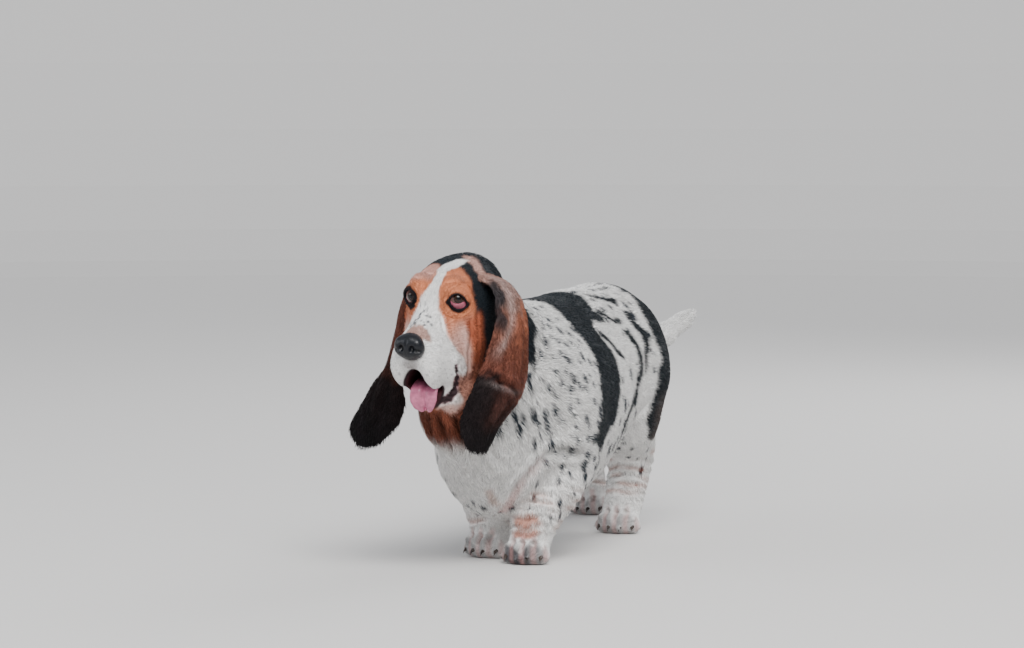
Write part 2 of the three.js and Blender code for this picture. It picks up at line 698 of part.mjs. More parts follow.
let neck = solidOf(skinOf(neckField, [-150, -440, 120], [130, -120, 470], NECK_CELL));
neck = neck.intersect(sideOf(NECK_CUT.at, NECK_CUT.facing)).subtract(inBody(headRegion(GAP)));
for (const name of Object.keys(EARS)) neck = neck.subtract(seatOf((grow) => earSheet(name, grow)));
piece("neck", neck, "tan_coat");

for (const name of Object.keys(EARS)) piece(name, earSheet(name), "ear_coat");

// The origin lies on the floor, under the middle of the whole
const bounds = new THREE.Box3().setFromObject(root);
const middle = bounds.getCenter(new THREE.Vector3());
for (const mesh of root.children) mesh.geometry.translate(-middle.x, -middle.y, 0);
root.userData.shift = [-middle.x, -middle.y, 0];

export default root;
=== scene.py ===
"""A basset hound at life size, made as a still museum model: one skin over the solids, glossy eyes in
soft lids, a damp nose, a lolling tongue, long leather ears, horn claws and a short lying coat."""

import math

import bmesh
import bpy
import numpy as np
from mathutils import Matrix, Vector
from mathutils.bvhtree import BVHTree
from mathutils.kdtree import KDTree


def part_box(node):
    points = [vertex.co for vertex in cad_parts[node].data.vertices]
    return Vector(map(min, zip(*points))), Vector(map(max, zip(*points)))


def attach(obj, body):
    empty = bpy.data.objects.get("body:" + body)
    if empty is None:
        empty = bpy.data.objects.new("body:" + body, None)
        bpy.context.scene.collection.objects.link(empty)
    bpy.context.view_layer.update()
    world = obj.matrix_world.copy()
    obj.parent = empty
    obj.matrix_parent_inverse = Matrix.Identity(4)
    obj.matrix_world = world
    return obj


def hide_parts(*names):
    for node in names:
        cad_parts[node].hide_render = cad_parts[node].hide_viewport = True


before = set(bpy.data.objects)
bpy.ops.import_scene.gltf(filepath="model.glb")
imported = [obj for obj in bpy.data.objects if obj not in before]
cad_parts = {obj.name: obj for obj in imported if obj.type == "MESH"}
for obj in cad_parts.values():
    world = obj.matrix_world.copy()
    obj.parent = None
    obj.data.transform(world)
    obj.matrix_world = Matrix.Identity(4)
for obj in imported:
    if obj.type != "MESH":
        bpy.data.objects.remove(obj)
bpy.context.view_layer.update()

# The setting
# A pale round floor that sweeps up into its own backdrop, a broad light overhead, softboxes over the
# dog's left shoulder, to its right and behind it, and a long lens from a little above its height.

# The dog's places are in millimetres from the spot on the floor under its withers. The head's own frame
# has its middle between the eyes, and UNDER_WITHERS brings both into the frame of the solids.
HEAD_PLACE = np.array([-20.0, -382.0, 390.0])
head_axes = (
    Matrix.Rotation(math.radians(-2.5), 3, "Z")
    @ Matrix.Rotation(math.radians(20), 3, "X")
    @ Matrix.Rotation(math.radians(4), 3, "Y")
)
HEAD_AXES = np.array(head_axes)
LEFT_EYE = np.array([32.0, -6.0, 7.0])
eye_low, eye_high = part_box("eye_left")
UNDER_WITHERS = np.array((eye_low + eye_high) / 2) * 1000 - HEAD_PLACE - HEAD_AXES @ LEFT_EYE
UNDER_WITHERS[2] = 0

CAMERA_PLACE = (2180.18, -5551.80, 730)
CAMERA_TURN = 22
CAMERA_DIP = 3.805
camera_data = bpy.data.cameras.new("camera")
camera_data.sensor_width = 36
camera_data.lens = 140.625
camera = bpy.data.objects.new("camera", camera_data)
bpy.context.scene.collection.objects.link(camera)
camera.location = Vector(CAMERA_PLACE + UNDER_WITHERS) / 1000
camera.rotation_euler = (math.radians(90 - CAMERA_DIP), 0, math.radians(CAMERA_TURN))
bpy.context.scene.camera = camera


def soft_light(name, place, target, size, power, tint):
    """An area light of that size at place, turned to target."""
    data = bpy.data.lights.new(name, "AREA")
    data.shape = "RECTANGLE"
    data.size = size
    data.size_y = size * 0.7
    data.energy = power
    data.color = tint
    light = bpy.data.objects.new(name, data)
    light.location = place
    light.rotation_euler = (Vector(target) - Vector(place)).to_track_quat("-Z", "Y").to_euler()
    bpy.context.scene.collection.objects.link(light)


soft_light("key_light", (1.6, -2.6, 3.0), (0, -0.1, 0.2), 2.4, 120, (1.0, 0.98, 0.95))
soft_light("fill_light", (-2.8, -2.2, 1.6), (0, -0.1, 0.2), 2.4, 40, (0.93, 0.96, 1.0))
soft_light("back_light", (0.8, 3.0, 2.2), (0, 0.1, 0.3), 2.2, 55, (1.0, 1.0, 1.0))

sky_data = bpy.data.lights.new("sky_panel", "SUN")
sky_data.energy = 1.9
sky_data.angle = math.radians(40)
sky_panel = bpy.data.objects.new("sky_panel", sky_data)
sky_panel.rotation_euler = (math.radians(38), math.radians(14), math.radians(12))
bpy.context.scene.collection.objects.link(sky_panel)

world = bpy.data.worlds.new("studio")
world.use_nodes = True
world.node_tree.nodes["Background"].inputs["Color"].default_value = (0.80, 0.84, 0.90, 1)
world.node_tree.nodes["Background"].inputs["Strength"].default_value = 0.62
bpy.context.scene.world = world

FLOOR_RADIUS = 7.5
SWEEP_STEPS = 12
SWEEP_LENGTH = 0.45
sheet = bmesh.new()
bmesh.ops.create_circle(sheet, segments=96, radius=FLOOR_RADIUS, cap_ends=True)
rim = sheet.edges[:]
for turn in range(SWEEP_STEPS):
    grown = bmesh.ops.extrude_edge_only(sheet, edges=rim)["geom"]
    rim = [item for item in grown if isinstance(item, bmesh.types.BMEdge)]
    verts = [item for item in grown if isinstance(item, bmesh.types.BMVert)]
    rise = math.radians(90 / SWEEP_STEPS * (turn + 0.5))
    reach = 1 + SWEEP_LENGTH * math.cos(rise) / verts[0].co.xy.length
    bmesh.ops.scale(sheet, verts=verts, vec=(reach, reach, 1))
    bmesh.ops.translate(sheet, verts=verts, vec=(0, 0, SWEEP_LENGTH * math.sin(rise)))
bmesh.ops.recalc_face_normals(sheet, faces=sheet.faces)
floor_mesh = bpy.data.meshes.new("floor")
sheet.to_mesh(floor_mesh)
sheet.free()
floor = bpy.data.objects.new("floor", floor_mesh)
bpy.context.scene.collection.objects.link(floor)
floor_paint = bpy.data.materials.new("floor_paint")
floor_paint.use_nodes = True
floor_surface = floor_paint.node_tree.nodes["Principled BSDF"]
floor_surface.inputs["Base Color"].default_value = (0.66, 0.645, 0.63, 1)
floor_surface.inputs["Roughness"].default_value = 0.8
floor_mesh.materials.append(floor_paint)

# The skin
# One soft skin over trunk, neck, head, jaw, legs, paws and tail. It is fused from the solids, and the
# smoothing draws it in so that the coat ends near their faces. Head and paws are finer for their folds.

FLESH = [
    "torso", "neck", "head", "lower_jaw", "tail",
    "foreleg_left", "foreleg_right", "forepaw_left", "forepaw_right",
    "hindleg_left", "hindleg_right", "hindpaw_left", "hindpaw_right",
]
SKIN_CELL = 0.0044
SEAM = 0.0004  # how far the solids are grown, to close the gaps between them
MOST_ROUNDS = 40
FLOOR_GAP = 0.0004


def fused(names, cell, grow=SEAM):
    """The named solids fused into one closed mesh of square cells."""
    flesh = bmesh.new()
    for name in names:
        part = bmesh.new()
        part.from_mesh(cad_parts[name].data)
        bmesh.ops.remove_doubles(part, verts=part.verts, dist=0.00002)
        part.normal_update()
        for vert in part.verts:
            vert.co += vert.normal * grow
        grown = bpy.data.meshes.new("grown")
        part.to_mesh(grown)
        flesh.from_mesh(grown)
        bpy.data.meshes.remove(grown)
        part.free()
    rough = bpy.data.meshes.new("rough")
    flesh.to_mesh(rough)
    flesh.free()
    holder = bpy.data.objects.new("rough", rough)
    bpy.context.scene.collection.objects.link(holder)
    remesh = holder.modifiers.new("remesh", "REMESH")
    remesh.mode = "VOXEL"
    remesh.voxel_size = cell
    fused_holder = holder.evaluated_get(bpy.context.evaluated_depsgraph_get())
    result = bpy.data.meshes.new_from_object(fused_holder)
    bpy.data.objects.remove(holder)
    bpy.data.meshes.remove(rough)
    return result


def largest_shell(mesh):
    """Takes away every loose scrap of the mesh but its largest closed shell."""
    shell = bmesh.new()
    shell.from_mesh(mesh)
    shell.verts.ensure_lookup_table()
    seen = np.zeros(len(shell.verts), bool)
    groups = []
    for vert in shell.verts:
        if seen[vert.index]:
            continue
        group = []
        waiting = [vert]
        seen[vert.index] = True
        while waiting:
            here = waiting.pop()
            group.append(here)
            for edge in here.link_edges:
                other = edge.other_vert(here)
                if not seen[other.index]:
                    seen[other.index] = True
                    waiting.append(other)
        groups.append(group)
    groups.sort(key=len)
    scraps = [vert for group in groups[:-1] for vert in group]
    bmesh.ops.delete(shell, geom=scraps, context="VERTS")
    shell.to_mesh(mesh)
    shell.free()


def points_of(mesh):
    """The mesh's points as an array in metres."""
    flat = np.zeros(len(mesh.vertices) * 3, np.float32)
    mesh.vertices.foreach_get("co", flat)
    return flat.reshape(-1, 3).astype(float)


def normals_of(mesh):
    """The mesh's outward directions at its points."""
    flat = np.zeros(len(mesh.vertices) * 3, np.float32)
    mesh.vertex_normals.foreach_get("vector", flat)
    return flat.reshape(-1, 3).astype(float)


def move_points(mesh, points):
    """Puts the mesh's points where the array says."""
    mesh.vertices.foreach_set("co", points.astype(np.float32).ravel())
    mesh.update()


def raise_points(mesh, height):
    """Moves the mesh's points outward by the height in millimetres, and keeps them over the floor."""
    points = points_of(mesh) + normals_of(mesh) * height[:, None] / 1000
    points[:, 2] = np.maximum(points[:, 2], FLOOR_GAP)
    move_points(mesh, points)


def relaxed(mesh, rounds, most):
    """The mesh's points after each has moved half way to the middle of its neighbours, so many rounds."""
    ends = np.zeros(len(mesh.edges) * 2, np.int32)
    mesh.edges.foreach_get("vertices", ends)
    first, second = ends.reshape(-1, 2).T
    count = len(mesh.vertices)
    share = np.bincount(first, minlength=count) + np.bincount(second, minlength=count)
    share = np.maximum(share, 1)[:, None]
    points = points_of(mesh)
    for turn in range(most):
        total = np.empty_like(points)
        for axis in range(3):
            total[:, axis] = np.bincount(first, points[second, axis], count)
            total[:, axis] += np.bincount(second, points[first, axis], count)
        weight = 0.5 * np.clip(rounds - turn, 0, 1)[:, None]
        points += (total / share - points) * weight
    return points


def in_dog(points):
    """Points in metres as millimetres from the spot under the withers."""
    return points * 1000 - UNDER_WITHERS


def in_head(dog_points):
    """Points in millimetres turned into the head's own frame, with its middle between the eyes."""
    return (dog_points - HEAD_PLACE) @ HEAD_AXES


def from_head(points):
    """Points in the head's frame, in millimetres, as metres in the model."""
    return (np.array(points) @ HEAD_AXES.T + HEAD_PLACE + UNDER_WITHERS) / 1000


def step(low, high, value):
    """A smooth rise from 0 at low to 1 at high."""
    t = np.clip((value - low) / (high - low), 0, 1)
    return t * t * (3 - 2 * t)


skin_mesh = fused(FLESH, SKIN_CELL)
largest_shell(skin_mesh)
skin_mesh.name = "skin"
dog = in_dog(points_of(skin_mesh))
face = in_head(dog)
on_head = step(95, 60, face[:, 1]) * step(-150, -128, face[:, 2])
on_leg = step(150, 90, dog[:, 2])
on_paw = step(52, 34, dog[:, 2]) * (1 - on_head)
on_tail = step(312, 340, dog[:, 1]) * step(250, 275, dog[:, 2])
rounds = MOST_ROUNDS - 24 * on_leg - 11 * on_paw
rounds = rounds * (1 - on_tail) + 8 * on_tail
rounds = rounds * (1 - on_head) + 4 * on_head
move_points(skin_mesh, relaxed(skin_mesh, rounds, MOST_ROUNDS))

finer = bmesh.new()
finer.from_mesh(skin_mesh)
dog = in_dog(points_of(skin_mesh))
face = in_head(dog)
fine_area = ((face[:, 1] < 62) & (face[:, 2] > -150)) | (dog[:, 2] < 54)
finer.verts.ensure_lookup_table()
fine_edges = [
    edge for edge in finer.edges
    if fine_area[edge.verts[0].index] and fine_area[edge.verts[1].index]
]
bmesh.ops.subdivide_edges(finer, edges=fine_edges, cuts=1, use_grid_fill=True)
bmesh.ops.triangulate(finer, faces=[f for f in finer.faces if len(f.verts) > 4])
finer.to_mesh(skin_mesh)
finer.free()
dog = in_dog(points_of(skin_mesh))
face = in_head(dog)
on_head = step(75, 55, face[:, 1]) * step(-160, -140, face[:, 2])
rounds = 3.0 * np.maximum(on_head, step(58, 52, dog[:, 2]))
move_points(skin_mesh, relaxed(skin_mesh, rounds, 3))

# Folds and wrinkles
# The loose skin that the breed is known for: creases pressed in along lines, each with a soft roll
# beside it, rings round the wrists and hocks, and furrows between the toes.


def line_distance(points, line):
    """How far each point is from a line of several corners, and how far along it, from 0 to 1."""
    line = np.array(line, float)
    lengths = np.linalg.norm(np.diff(line, axis=0), axis=1)
    before = np.concatenate([[0], np.cumsum(lengths)])
    nearest = np.full(len(points), 1e9)
    along = np.zeros(len(points))
    for index, length in enumerate(lengths):
        start, run = line[index], line[index + 1] - line[index]
        t = np.clip((points - start) @ run / length**2, 0, 1)
        distance = np.linalg.norm(points - start - t[:, None] * run, axis=1)
        closer = distance < nearest
        nearest[closer] = distance[closer]
        along[closer] = (before[index] + t[closer] * length) / before[-1]
    return nearest, along


def crease(points, line, depth, width, roll=0.45):
    """The height of a crease along the line, with a soft roll on both sides that fades at its ends."""
    distance, along = line_distance(points, line)
    ends = np.sqrt(np.clip(np.minimum(along, 1 - along) * 5, 0, 1))
    dip = -np.exp(-((distance / width) ** 2))
    swell = roll * np.exp(-(((distance - 1.9 * width) / width) ** 2))
    return depth * ends * (dip + swell)


def swelling(points, place, radii, height):
    """The height of a soft bulge with its middle at place."""
    reach = np.linalg.norm((points - np.array(place, float)) / np.array(radii, float), axis=1)
    return height * step(1, 0, reach)


def wander(points, size, seed):
    """A smooth random value from about -1 to 1 that changes over that size."""
    draw = np.random.default_rng(seed)
    total = np.zeros(len(points))
    for wave in range(7):
        heading = draw.normal(size=3)
        heading /= np.linalg.norm(heading) * size * draw.uniform(0.14, 0.3)
        total += np.sin(points @ heading + draw.uniform(0, 6.28))
    return total / 3.2


FACE_CREASES = [
    ([(47, -6, -22), (50, -10, -45), (49, -18, -66), (45, -19, -92), (40, -22, -104)], 3.4, 3.6),
    ([(56, 8, -10), (57, 2, -40), (54, -4, -72), (50, -4, -100)], 3.0, 3.4),
    ([(36, -50, -66), (43, -42, -74), (45, -36, -88), (42, -38, -102)], 2.6, 3.0),
    ([(18, -34, -6), (26, -46, -24), (33, -46, -44)], 1.5, 3.4),
    ([(12, -12, 24), (24, -10, 34), (40, -2, 36)], 1.6, 3.2),
    ([(8, 4, 34), (20, 8, 42), (36, 14, 42)], 1.4, 3.4),
    ([(8, -24, 12), (7, -8, 30), (4, 10, 38)], 1.3, 3.4),
    ([(34, -28, -8), (40, -30, -20), (46, -22, -26)], 1.3, 2.8),
]
LIP_CORNER = [
    (42, -51, -76), (41, -47, -92), (39, -47, -106), (36, -51, -116), (30, -59, -123), (21, -68, -127),
]
BODY_CREASES = [
    ([(116, -159, 158), (95, -205, 168), (80, -227, 162), (66, -249, 144), (53, -255, 126),
      (38, -252, 102)], 9.0, 7.0),
    ([(-104, -120, 170), (-92, -180, 172), (-76, -214, 160), (-58, -236, 136), (-44, -236, 104)], 7.5, 7.0),
    ([(0, -262, 64), (4, -290, 108), (-4, -310, 150)], 2.6, 7.0),
    ([(-19, -384, 232), (-17, -372, 206), (-14, -350, 176), (-10, -326, 150)], 7.0, 5.0),
    ([(-36, -380, 226), (-38, -366, 200), (-34, -342, 170)], 3.4, 5.0),
    ([(2, -380, 228), (6, -362, 200), (8, -338, 172), (8, -312, 140)], 6.0, 5.0),
    ([(24, -368, 224), (34, -346, 196), (40, -318, 170), (44, -290, 150)], 3.0, 6.0),
    ([(-56, -366, 222), (-60, -344, 190), (-56, -316, 164), (-50, -288, 146)], 3.0, 6.0),
    ([(76, -232, 330), (84, -250, 290), (84, -262, 250), (78, -272, 214)], 2.4, 8.0),
    ([(-80, -232, 330), (-88, -250, 290), (-88, -262, 250), (-82, -272, 214)], 2.4, 8.0),
    ([(104, 20, 150), (108, 70, 168), (104, 120, 192), (98, 150, 214)], 3.4, 8.0),
    ([(-104, 20, 150), (-108, 80, 168), (-108, 130, 192), (-104, 165, 214)], 3.4, 8.0),
]
# Each shin has its ankle, its knee, and the height and depth of each ring of loose skin on it.
SHINS = [
    ((55, -190, 72), (67, -160, 108), [(112, 1.5), (97, 2.4), (85, 2.2), (72, 2.6), (60, 2.2), (49, 1.8)]),
    ((-44, -140, 72), (-62, -122, 108), [(110, 1.5), (96, 2.2), (84, 2.2), (71, 2.6), (59, 2.2), (48, 1.8)]),
    ((35, 232, 72), (34, 254, 108), [(124, 2.0), (108, 2.0), (94, 2.4), (80, 2.2), (67, 2.4), (55, 2.0)]),
    ((-96, 392, 82), (-92, 352, 122), [(122, 1.8), (106, 2.2), (92, 2.4), (80, 2.2), (67, 2.4), (56, 2.0)]),
]
# Each paw has the place of its middle on the floor and its turn in degrees.
PAWS = {
    "forepaw_left": ((45, -204), 4),
    "forepaw_right": ((-36, -152), -12),
    "hindpaw_left": ((36, 200), 4),
    "hindpaw_right": ((-98, 424), -2),
}
TOE_PITCH = 16.5
TOES = (-1.5, -0.5, 0.5, 1.5)


def in_paw(points, paw):
    """Points in millimetres in the paw's own frame, with its toes towards -Y."""
    (x, y), turn = PAWS[paw]
    c = math.cos(math.radians(turn))
    s = math.sin(math.radians(turn))
    across, along, high = (points - np.array([x, y, 0])).T
    return np.stack([c * across + s * along, c * along - s * across, high], 1)


height = np.zeros(len(dog))
near_face = step(-165, -140, face[:, 2]) * step(110, 80, face[:, 1])
mirrored = face * np.array([-1, 1, 1])
for line, depth, width in FACE_CREASES:
    height += near_face * crease(face, line, depth, width)
    height += near_face * crease(mirrored, np.array(line) + (0.8, 1.2, -1.0), depth * 0.92, width)
for side in (face, mirrored):
    height += near_face * swelling(side, (26, -92, -62), (20, 26, 26), 2.2)
    height += near_face * swelling(side, (30, 2, 32), (20, 18, 12), 2.4)
    height += near_face * swelling(side, (52, -6, -60), (16, 14, 44), 2.0)
height += near_face * crease(face, [(0, -30, 12), (1, 0, 34), (0, 40, 44)], 1.4, 4.0, 0.3)
height += swelling(face, (0, 74, 46), (75, 80, 40), -4.5)
lip_frill = step(9, 3, line_distance(face, LIP_CORNER)[0]) * near_face
height += lip_frill * (1.6 * wander(face, 5, 20) - 1.6)
height += near_face * crease(face, [(50, -50, -62), (49, -42, -78), (47, -34, -100)], 2.4, 3.0)
for line, depth, width in BODY_CREASES:
    height += (1 - near_face) * crease(dog, line, depth, width)
for ankle, knee, rings in SHINS:
    from_shin, _ = line_distance(dog, [ankle, knee])
    lower = np.array(ankle) + (np.array(ankle) - knee) * 0.6
    from_shin = np.minimum(from_shin, line_distance(dog, [lower, ankle])[0])
    tilt = dog[:, 2] + 0.22 * (dog[:, 1] - ankle[1]) + 3.4 * wander(dog, 44, 5) + 1.2 * wander(dog, 17, 19)
    for ring, depth in rings:
        from_ring = tilt - ring
        dip = np.exp(-((from_ring / 2.9) ** 2)) - 0.45 * np.exp(-(((np.abs(from_ring) - 6.2) / 3.6) ** 2))
        strength = np.clip(0.55 + 0.75 * wander(dog + ring, 44, int(ring)), 0, 1.2)
        height -= 0.8 * depth * strength * dip * step(58, 46, from_shin)
for paw in PAWS:
    toe = in_paw(dog, paw)
    near = step(62, 50, np.abs(toe[:, 0])) * step(70, 50, np.abs(toe[:, 1])) * step(46, 34, toe[:, 2])
    for gap in (-1, 0, 1):
        toe_side = TOE_PITCH * gap
        furrow = [(toe_side, -46, 4), (toe_side, -38, 20), (15 * gap, -22, 32), (12 * gap, -2, 40)]
        height += near * crease(toe, furrow, 7.5, 3.6, 0.25)
    for n in TOES:
        height += near * swelling(toe, (TOE_PITCH * n, -30 + 8 * abs(n), 25), (9, 15, 12), 5.0)
height += 0.5 * wander(dog, 26, 11) * (1 - on_paw.mean()) * step(40, 90, dog[:, 2])
raise_points(skin_mesh, height)

# Eyelids
# A heavy upper lid and a drooping lower one round each eye, black at the margin. Each pair is a collar
# of skin spun from the rim on the eyeball out to the face, and is one with the skin.

EYE_RADIUS = 13.5
FLATTER = 1.42  # how much flatter than the ball the lids lie on it
LID_RIM = [
    (-10.6, 4.0), (-6.0, 9.4), (1.0, 11.6), (8.6, 6.6),
    (13.8, -5.0), (9.2, -9.6), (1.4, -10.6), (-6.6, -6.0),
]
LID_STEPS = 72
# Each ring of the collar has its size, its lift off the ball and how far it has met the face.
LID_RINGS = [
    (0.90, -1.6, 0.0), (0.95, -0.2, 0.0), (1.0, 1.1, 0.0), (1.06, 1.9, 0.0), (1.13, 2.1, 0.0),
    (1.24, 1.9, 0.05), (1.36, 1.8, 0.2), (1.5, 1.8, 0.45), (1.66, 1.8, 0.7), (1.84, 1.2, 0.9),
    (2.0, 0.5, 1.0), (2.15, -0.4, 1.0), (2.3, -1.8, 1.0),
]


def smooth_loop(corners, steps):
    """Points along a smooth closed loop through the corners."""
    corners = np.array(corners, float)
    count = len(corners)
    found = []
    for index in range(steps):
        place = index * count / steps
        at = int(place)
        t = place - at
        a, b, c, d = (corners[(at + shift) % count] for shift in (-1, 0, 1, 2))
        bend = 2 * a - 5 * b + 4 * c - d
        swing = 3 * b - a - 3 * c + d
        found.append(0.5 * (2 * b + (c - a) * t + bend * t * t + swing * t**3))
    return np.array(found)


def eye_frame(side):
    """The middle of an eye and the directions out to the side, up and forward, all in the head's frame."""
    middle = np.array([32.0 * side, -6.0, 7.0])
    ahead = np.array([0.42 * side, -0.9, 0.06])
    ahead /= np.linalg.norm(ahead)
    out = np.cross(ahead, (0, 0, 1)) * -side
    out /= np.linalg.norm(out)
    up = np.cross(out, ahead) * side
    return middle, out, up * np.sign(up[2]), ahead


skin_tree = BVHTree.FromPolygons(
    [tuple(point) for point in in_head(in_dog(points_of(skin_mesh)))],
    [tuple(polygon.vertices) for polygon in skin_mesh.polygons],
)
lid_rows = {}
for side in (1, -1):
    middle, out, up, ahead = eye_frame(side)
    rows = []
    for scale, lift, blend in LID_RINGS:
        row = []
        for h, v in smooth_loop(LID_RIM, LID_STEPS):
            length = math.hypot(h, v)
            grown = length * scale if scale < 1.2 else length * 1.2 + (scale - 1.2) * 12.5
            h, v = h / length * grown, v / length * grown
            bulge = EYE_RADIUS * math.sqrt(max(1 - (math.hypot(h, v) / (EYE_RADIUS * FLATTER)) ** 2, 0.0))
            bag = 1.2 * math.exp(-(((v + 15) / 4) ** 2)) + 1.0 * math.exp(-(((v - 14) / 4) ** 2))
            out_of_face = bulge + lift + bag * min(blend * 3, 1) * (1 - blend)
            on_lid = middle + out * h + up * v + ahead * out_of_face
            if blend > 0:
                hit = skin_tree.ray_cast(Vector(on_lid + ahead * 30), Vector(-ahead), 60)[0]
                if hit is not None:
                    on_face = np.array(hit) + ahead * min(lift, 0.9)
                    on_lid = on_lid * (1 - blend) + on_face * blend
            row.append(on_lid)
        rows.append(row)
    lid_rows[side] = rows

for side in (1, -1):
    middle, out, up, ahead = eye_frame(side)
    face = in_head(in_dog(points_of(skin_mesh)))
    offset = face - middle
    across = np.hypot(offset @ out, offset @ up)
    sunk = step(25, 17, across) * (offset @ ahead > -8) * 7.0
    face = face - sunk[:, None] * ahead
    move_points(skin_mesh, from_head(face))

lids = bmesh.new()
lids.from_mesh(skin_mesh)
rim_layer = lids.verts.layers.float.new("lid_rim")
for side, rows in lid_rows.items():
    made = []
    for ring, row in enumerate(rows):
        made.append([lids.verts.new(place) for place in from_head(row)])
        for vert in made[-1]:
            vert[rim_layer] = ring + 1
    for inner, outer in zip(made, made[1:]):
        for k in range(LID_STEPS):
            corners = [inner[k], inner[k - 1], outer[k - 1], outer[k]]
            lids.faces.new(corners if side > 0 else corners[::-1])
lids.to_mesh(skin_mesh)
lids.free()

# The coat's colours
# White with a black saddle, bands and rump, black temples and neck, orange brows, pinkish cheeks, a white
# blaze, a tan throat, grey ticking and warm wrists. Skin and hairs take their colour from one function.

WHITE = (0.84, 0.83, 0.815)
# The black coat is tinted blue-green: a painted sheen, the cool light reflected off black hair.
BLUE_SHEEN_BLACK = (0.014, 0.019, 0.024)
ORANGE = (0.60, 0.205, 0.10)
RUST = (0.36, 0.10, 0.052)
PINKISH = (0.66, 0.45, 0.40)
TAN = (0.15, 0.046, 0.027)
GREY_BROWN = (0.085, 0.062, 0.055)
BARE_PINK = (0.60, 0.33, 0.31)
WRIST_TAN = (0.47, 0.165, 0.095)
DARK_LIP = (0.028, 0.016, 0.019)
TICK = (0.026, 0.036, 0.048)
EAR_BAND = (0.50, 0.29, 0.235)
SILVER_FLECK = (0.30, 0.31, 0.33)
CHEST_STREAK = (0.42, 0.24, 0.18)
TOE_DARK = (0.060, 0.058, 0.066)
FLUSHED = (0.56, 0.27, 0.20)
FAR_BROW = (0.58, 0.34, 0.29)
DUSKY = (0.30, 0.13, 0.09)
JOWL = (0.33, 0.13, 0.085)
BRIDGE_BROWN = (0.33, 0.155, 0.11)
BRISTLE_AND_SHADE = (0.24, 0.22, 0.225)
LIP_SHADOW = (0.20, 0.17, 0.17)
LIP_FLESH = (0.30, 0.17, 0.19)
LID_BLACK = (0.012, 0.010, 0.012)
MOUTH_INSIDE_SHADE = (0.075, 0.022, 0.026)

# The outline of each black patch, as places along the body and degrees round it from the spine.
BLACK_PATCHES = [
    [(-94, 25), (-86, -12), (-58, -34), (8, -30), (36, -8), (40, 12), (24, 25), (40, 31), (34, 35),
     (8, 31), (-3, 30)],
    [(-94, 24), (-97, 36), (-88, 53), (-88, 67), (-106, 79), (-136, 99), (-144, 113), (-120, 121),
     (-80, 113), (-40, 104), (-14, 86), (-2, 75), (-1, 63), (-10, 49), (-18, 36), (-3, 28), (-40, 20)],
    [(198, 12), (190, 28), (177, 34), (173, 51), (179, 58), (164, 73), (158, 87), (140, 112),
     (158, 128), (205, 132), (260, 112), (300, 84), (330, 62), (352, 20), (352, -20), (320, -70),
     (262, -108), (200, -126), (160, -112), (172, -80), (176, -50), (190, -22)],
    [(-350, 80), (-350, -80), (-262, -62), (-238, -40), (-256, -16), (-250, 22), (-236, 45), (-262, 63)],
    [(-52, -32), (-72, -58), (-94, -88), (-104, -108), (-56, -114), (-22, -92), (-4, -62), (10, -30)],
    [(70, -46), (94, -58), (100, -88), (74, -114), (46, -106), (64, -84), (68, -64)],
    [(116, -30), (140, -44), (138, -66), (118, -78), (126, -56), (112, -42)],
]
BLACK_STRIPES = [
    ([(80, -10, 326), (89, 6, 311), (97, 16, 297), (103, 38, 282)], 5.5),
    ([(64, 124, 350), (81, 136, 330), (92, 150, 312), (102, 138, 286), (106, 118, 256)], 8.0),
    ([(84, 80, 320), (99, 107, 292), (107, 101, 263), (109, 80, 239), (107, 72, 217), (106, 50, 196),
      (105, 30, 176), (96, 24, 150), (82, 30, 124)], 8.5),
    ([(28, 60, 362), (44, 96, 356), (52, 132, 354)], 4.5),
    ([(60, 30, 350), (74, 62, 338), (80, 92, 330)], 4.2),
]
# How dark each paw's toes are made, low at their front.
PAW_TOE_DARKNESS = {"forepaw_left": 1.0, "forepaw_right": 0.55, "hindpaw_left": 0.6, "hindpaw_right": 0.5}
DEGREE = 1.9  # the body chart's millimetres for each degree round the body
TICK_GAP = 14.5
MOUTH_MIDDLE = np.array([2, -66, -100])
MOUTH_RADII = np.array([22.5, 66, 37.5])
EAR_BAND_LINE = [(14, 84, 36), (24, 74, 34), (36, 64, 28), (48, 54, 24), (60, 44, 18)]


def outline_distance(points, outline):
    """How far outside a closed outline each flat point lies, negative inside."""
    outline = np.array(outline, float)
    nearest = np.full(len(points), 1e9)
    inside = np.zeros(len(points), bool)
    for (ax, ay), (bx, by) in zip(outline, np.roll(outline, -1, axis=0)):
        run = np.array([bx - ax, by - ay])
        offset = points - (ax, ay)
        t = np.clip(offset @ run / (run @ run), 0, 1)
        nearest = np.minimum(nearest, np.hypot(*(offset - t[:, None] * run).T))
        crosses = (ay > points[:, 1]) != (by > points[:, 1])
        at = ax + (points[:, 1] - ay) / (by - ay if by != ay else 1e-9) * (bx - ax)
        inside ^= crosses & (points[:, 0] < at)
    return np.where(inside, -nearest, nearest)


def body_chart(dog):
    """Flat places on the body: along it, and round it from the top of the back, both in millimetres."""
    axis = 225 + 0.5 * np.maximum(0, -(dog[:, 1] + 150))
    angle = np.degrees(np.arctan2(dog[:, 0], dog[:, 2] - axis))
    return np.stack([dog[:, 1], angle * DEGREE], 1)


def eye_reach(face, side):
    """How far out from the eye each point lies, as 1 at the lids' rim, and its height over the eye."""
    middle, out, up, ahead = eye_frame(side)
    offset = face - middle
    h, v, depth = offset @ out, offset @ up, offset @ ahead
    rim = smooth_loop(LID_RIM, 90)
    turn = np.arctan2(rim[:, 1], rim[:, 0])
    order = np.argsort(turn)
    reach = np.interp(np.arctan2(v, h), turn[order], np.hypot(*rim.T)[order], period=2 * np.pi)
    return np.where(depth > -4, np.hypot(h, v) / reach, 9.0), v, h


def blend(colours, tint, amount):
    """Lays a colour over the colours as strongly as amount says."""
    amount = np.clip(amount, 0, 1)[:, None]
    return colours * (1 - amount) + np.array(tint) * amount


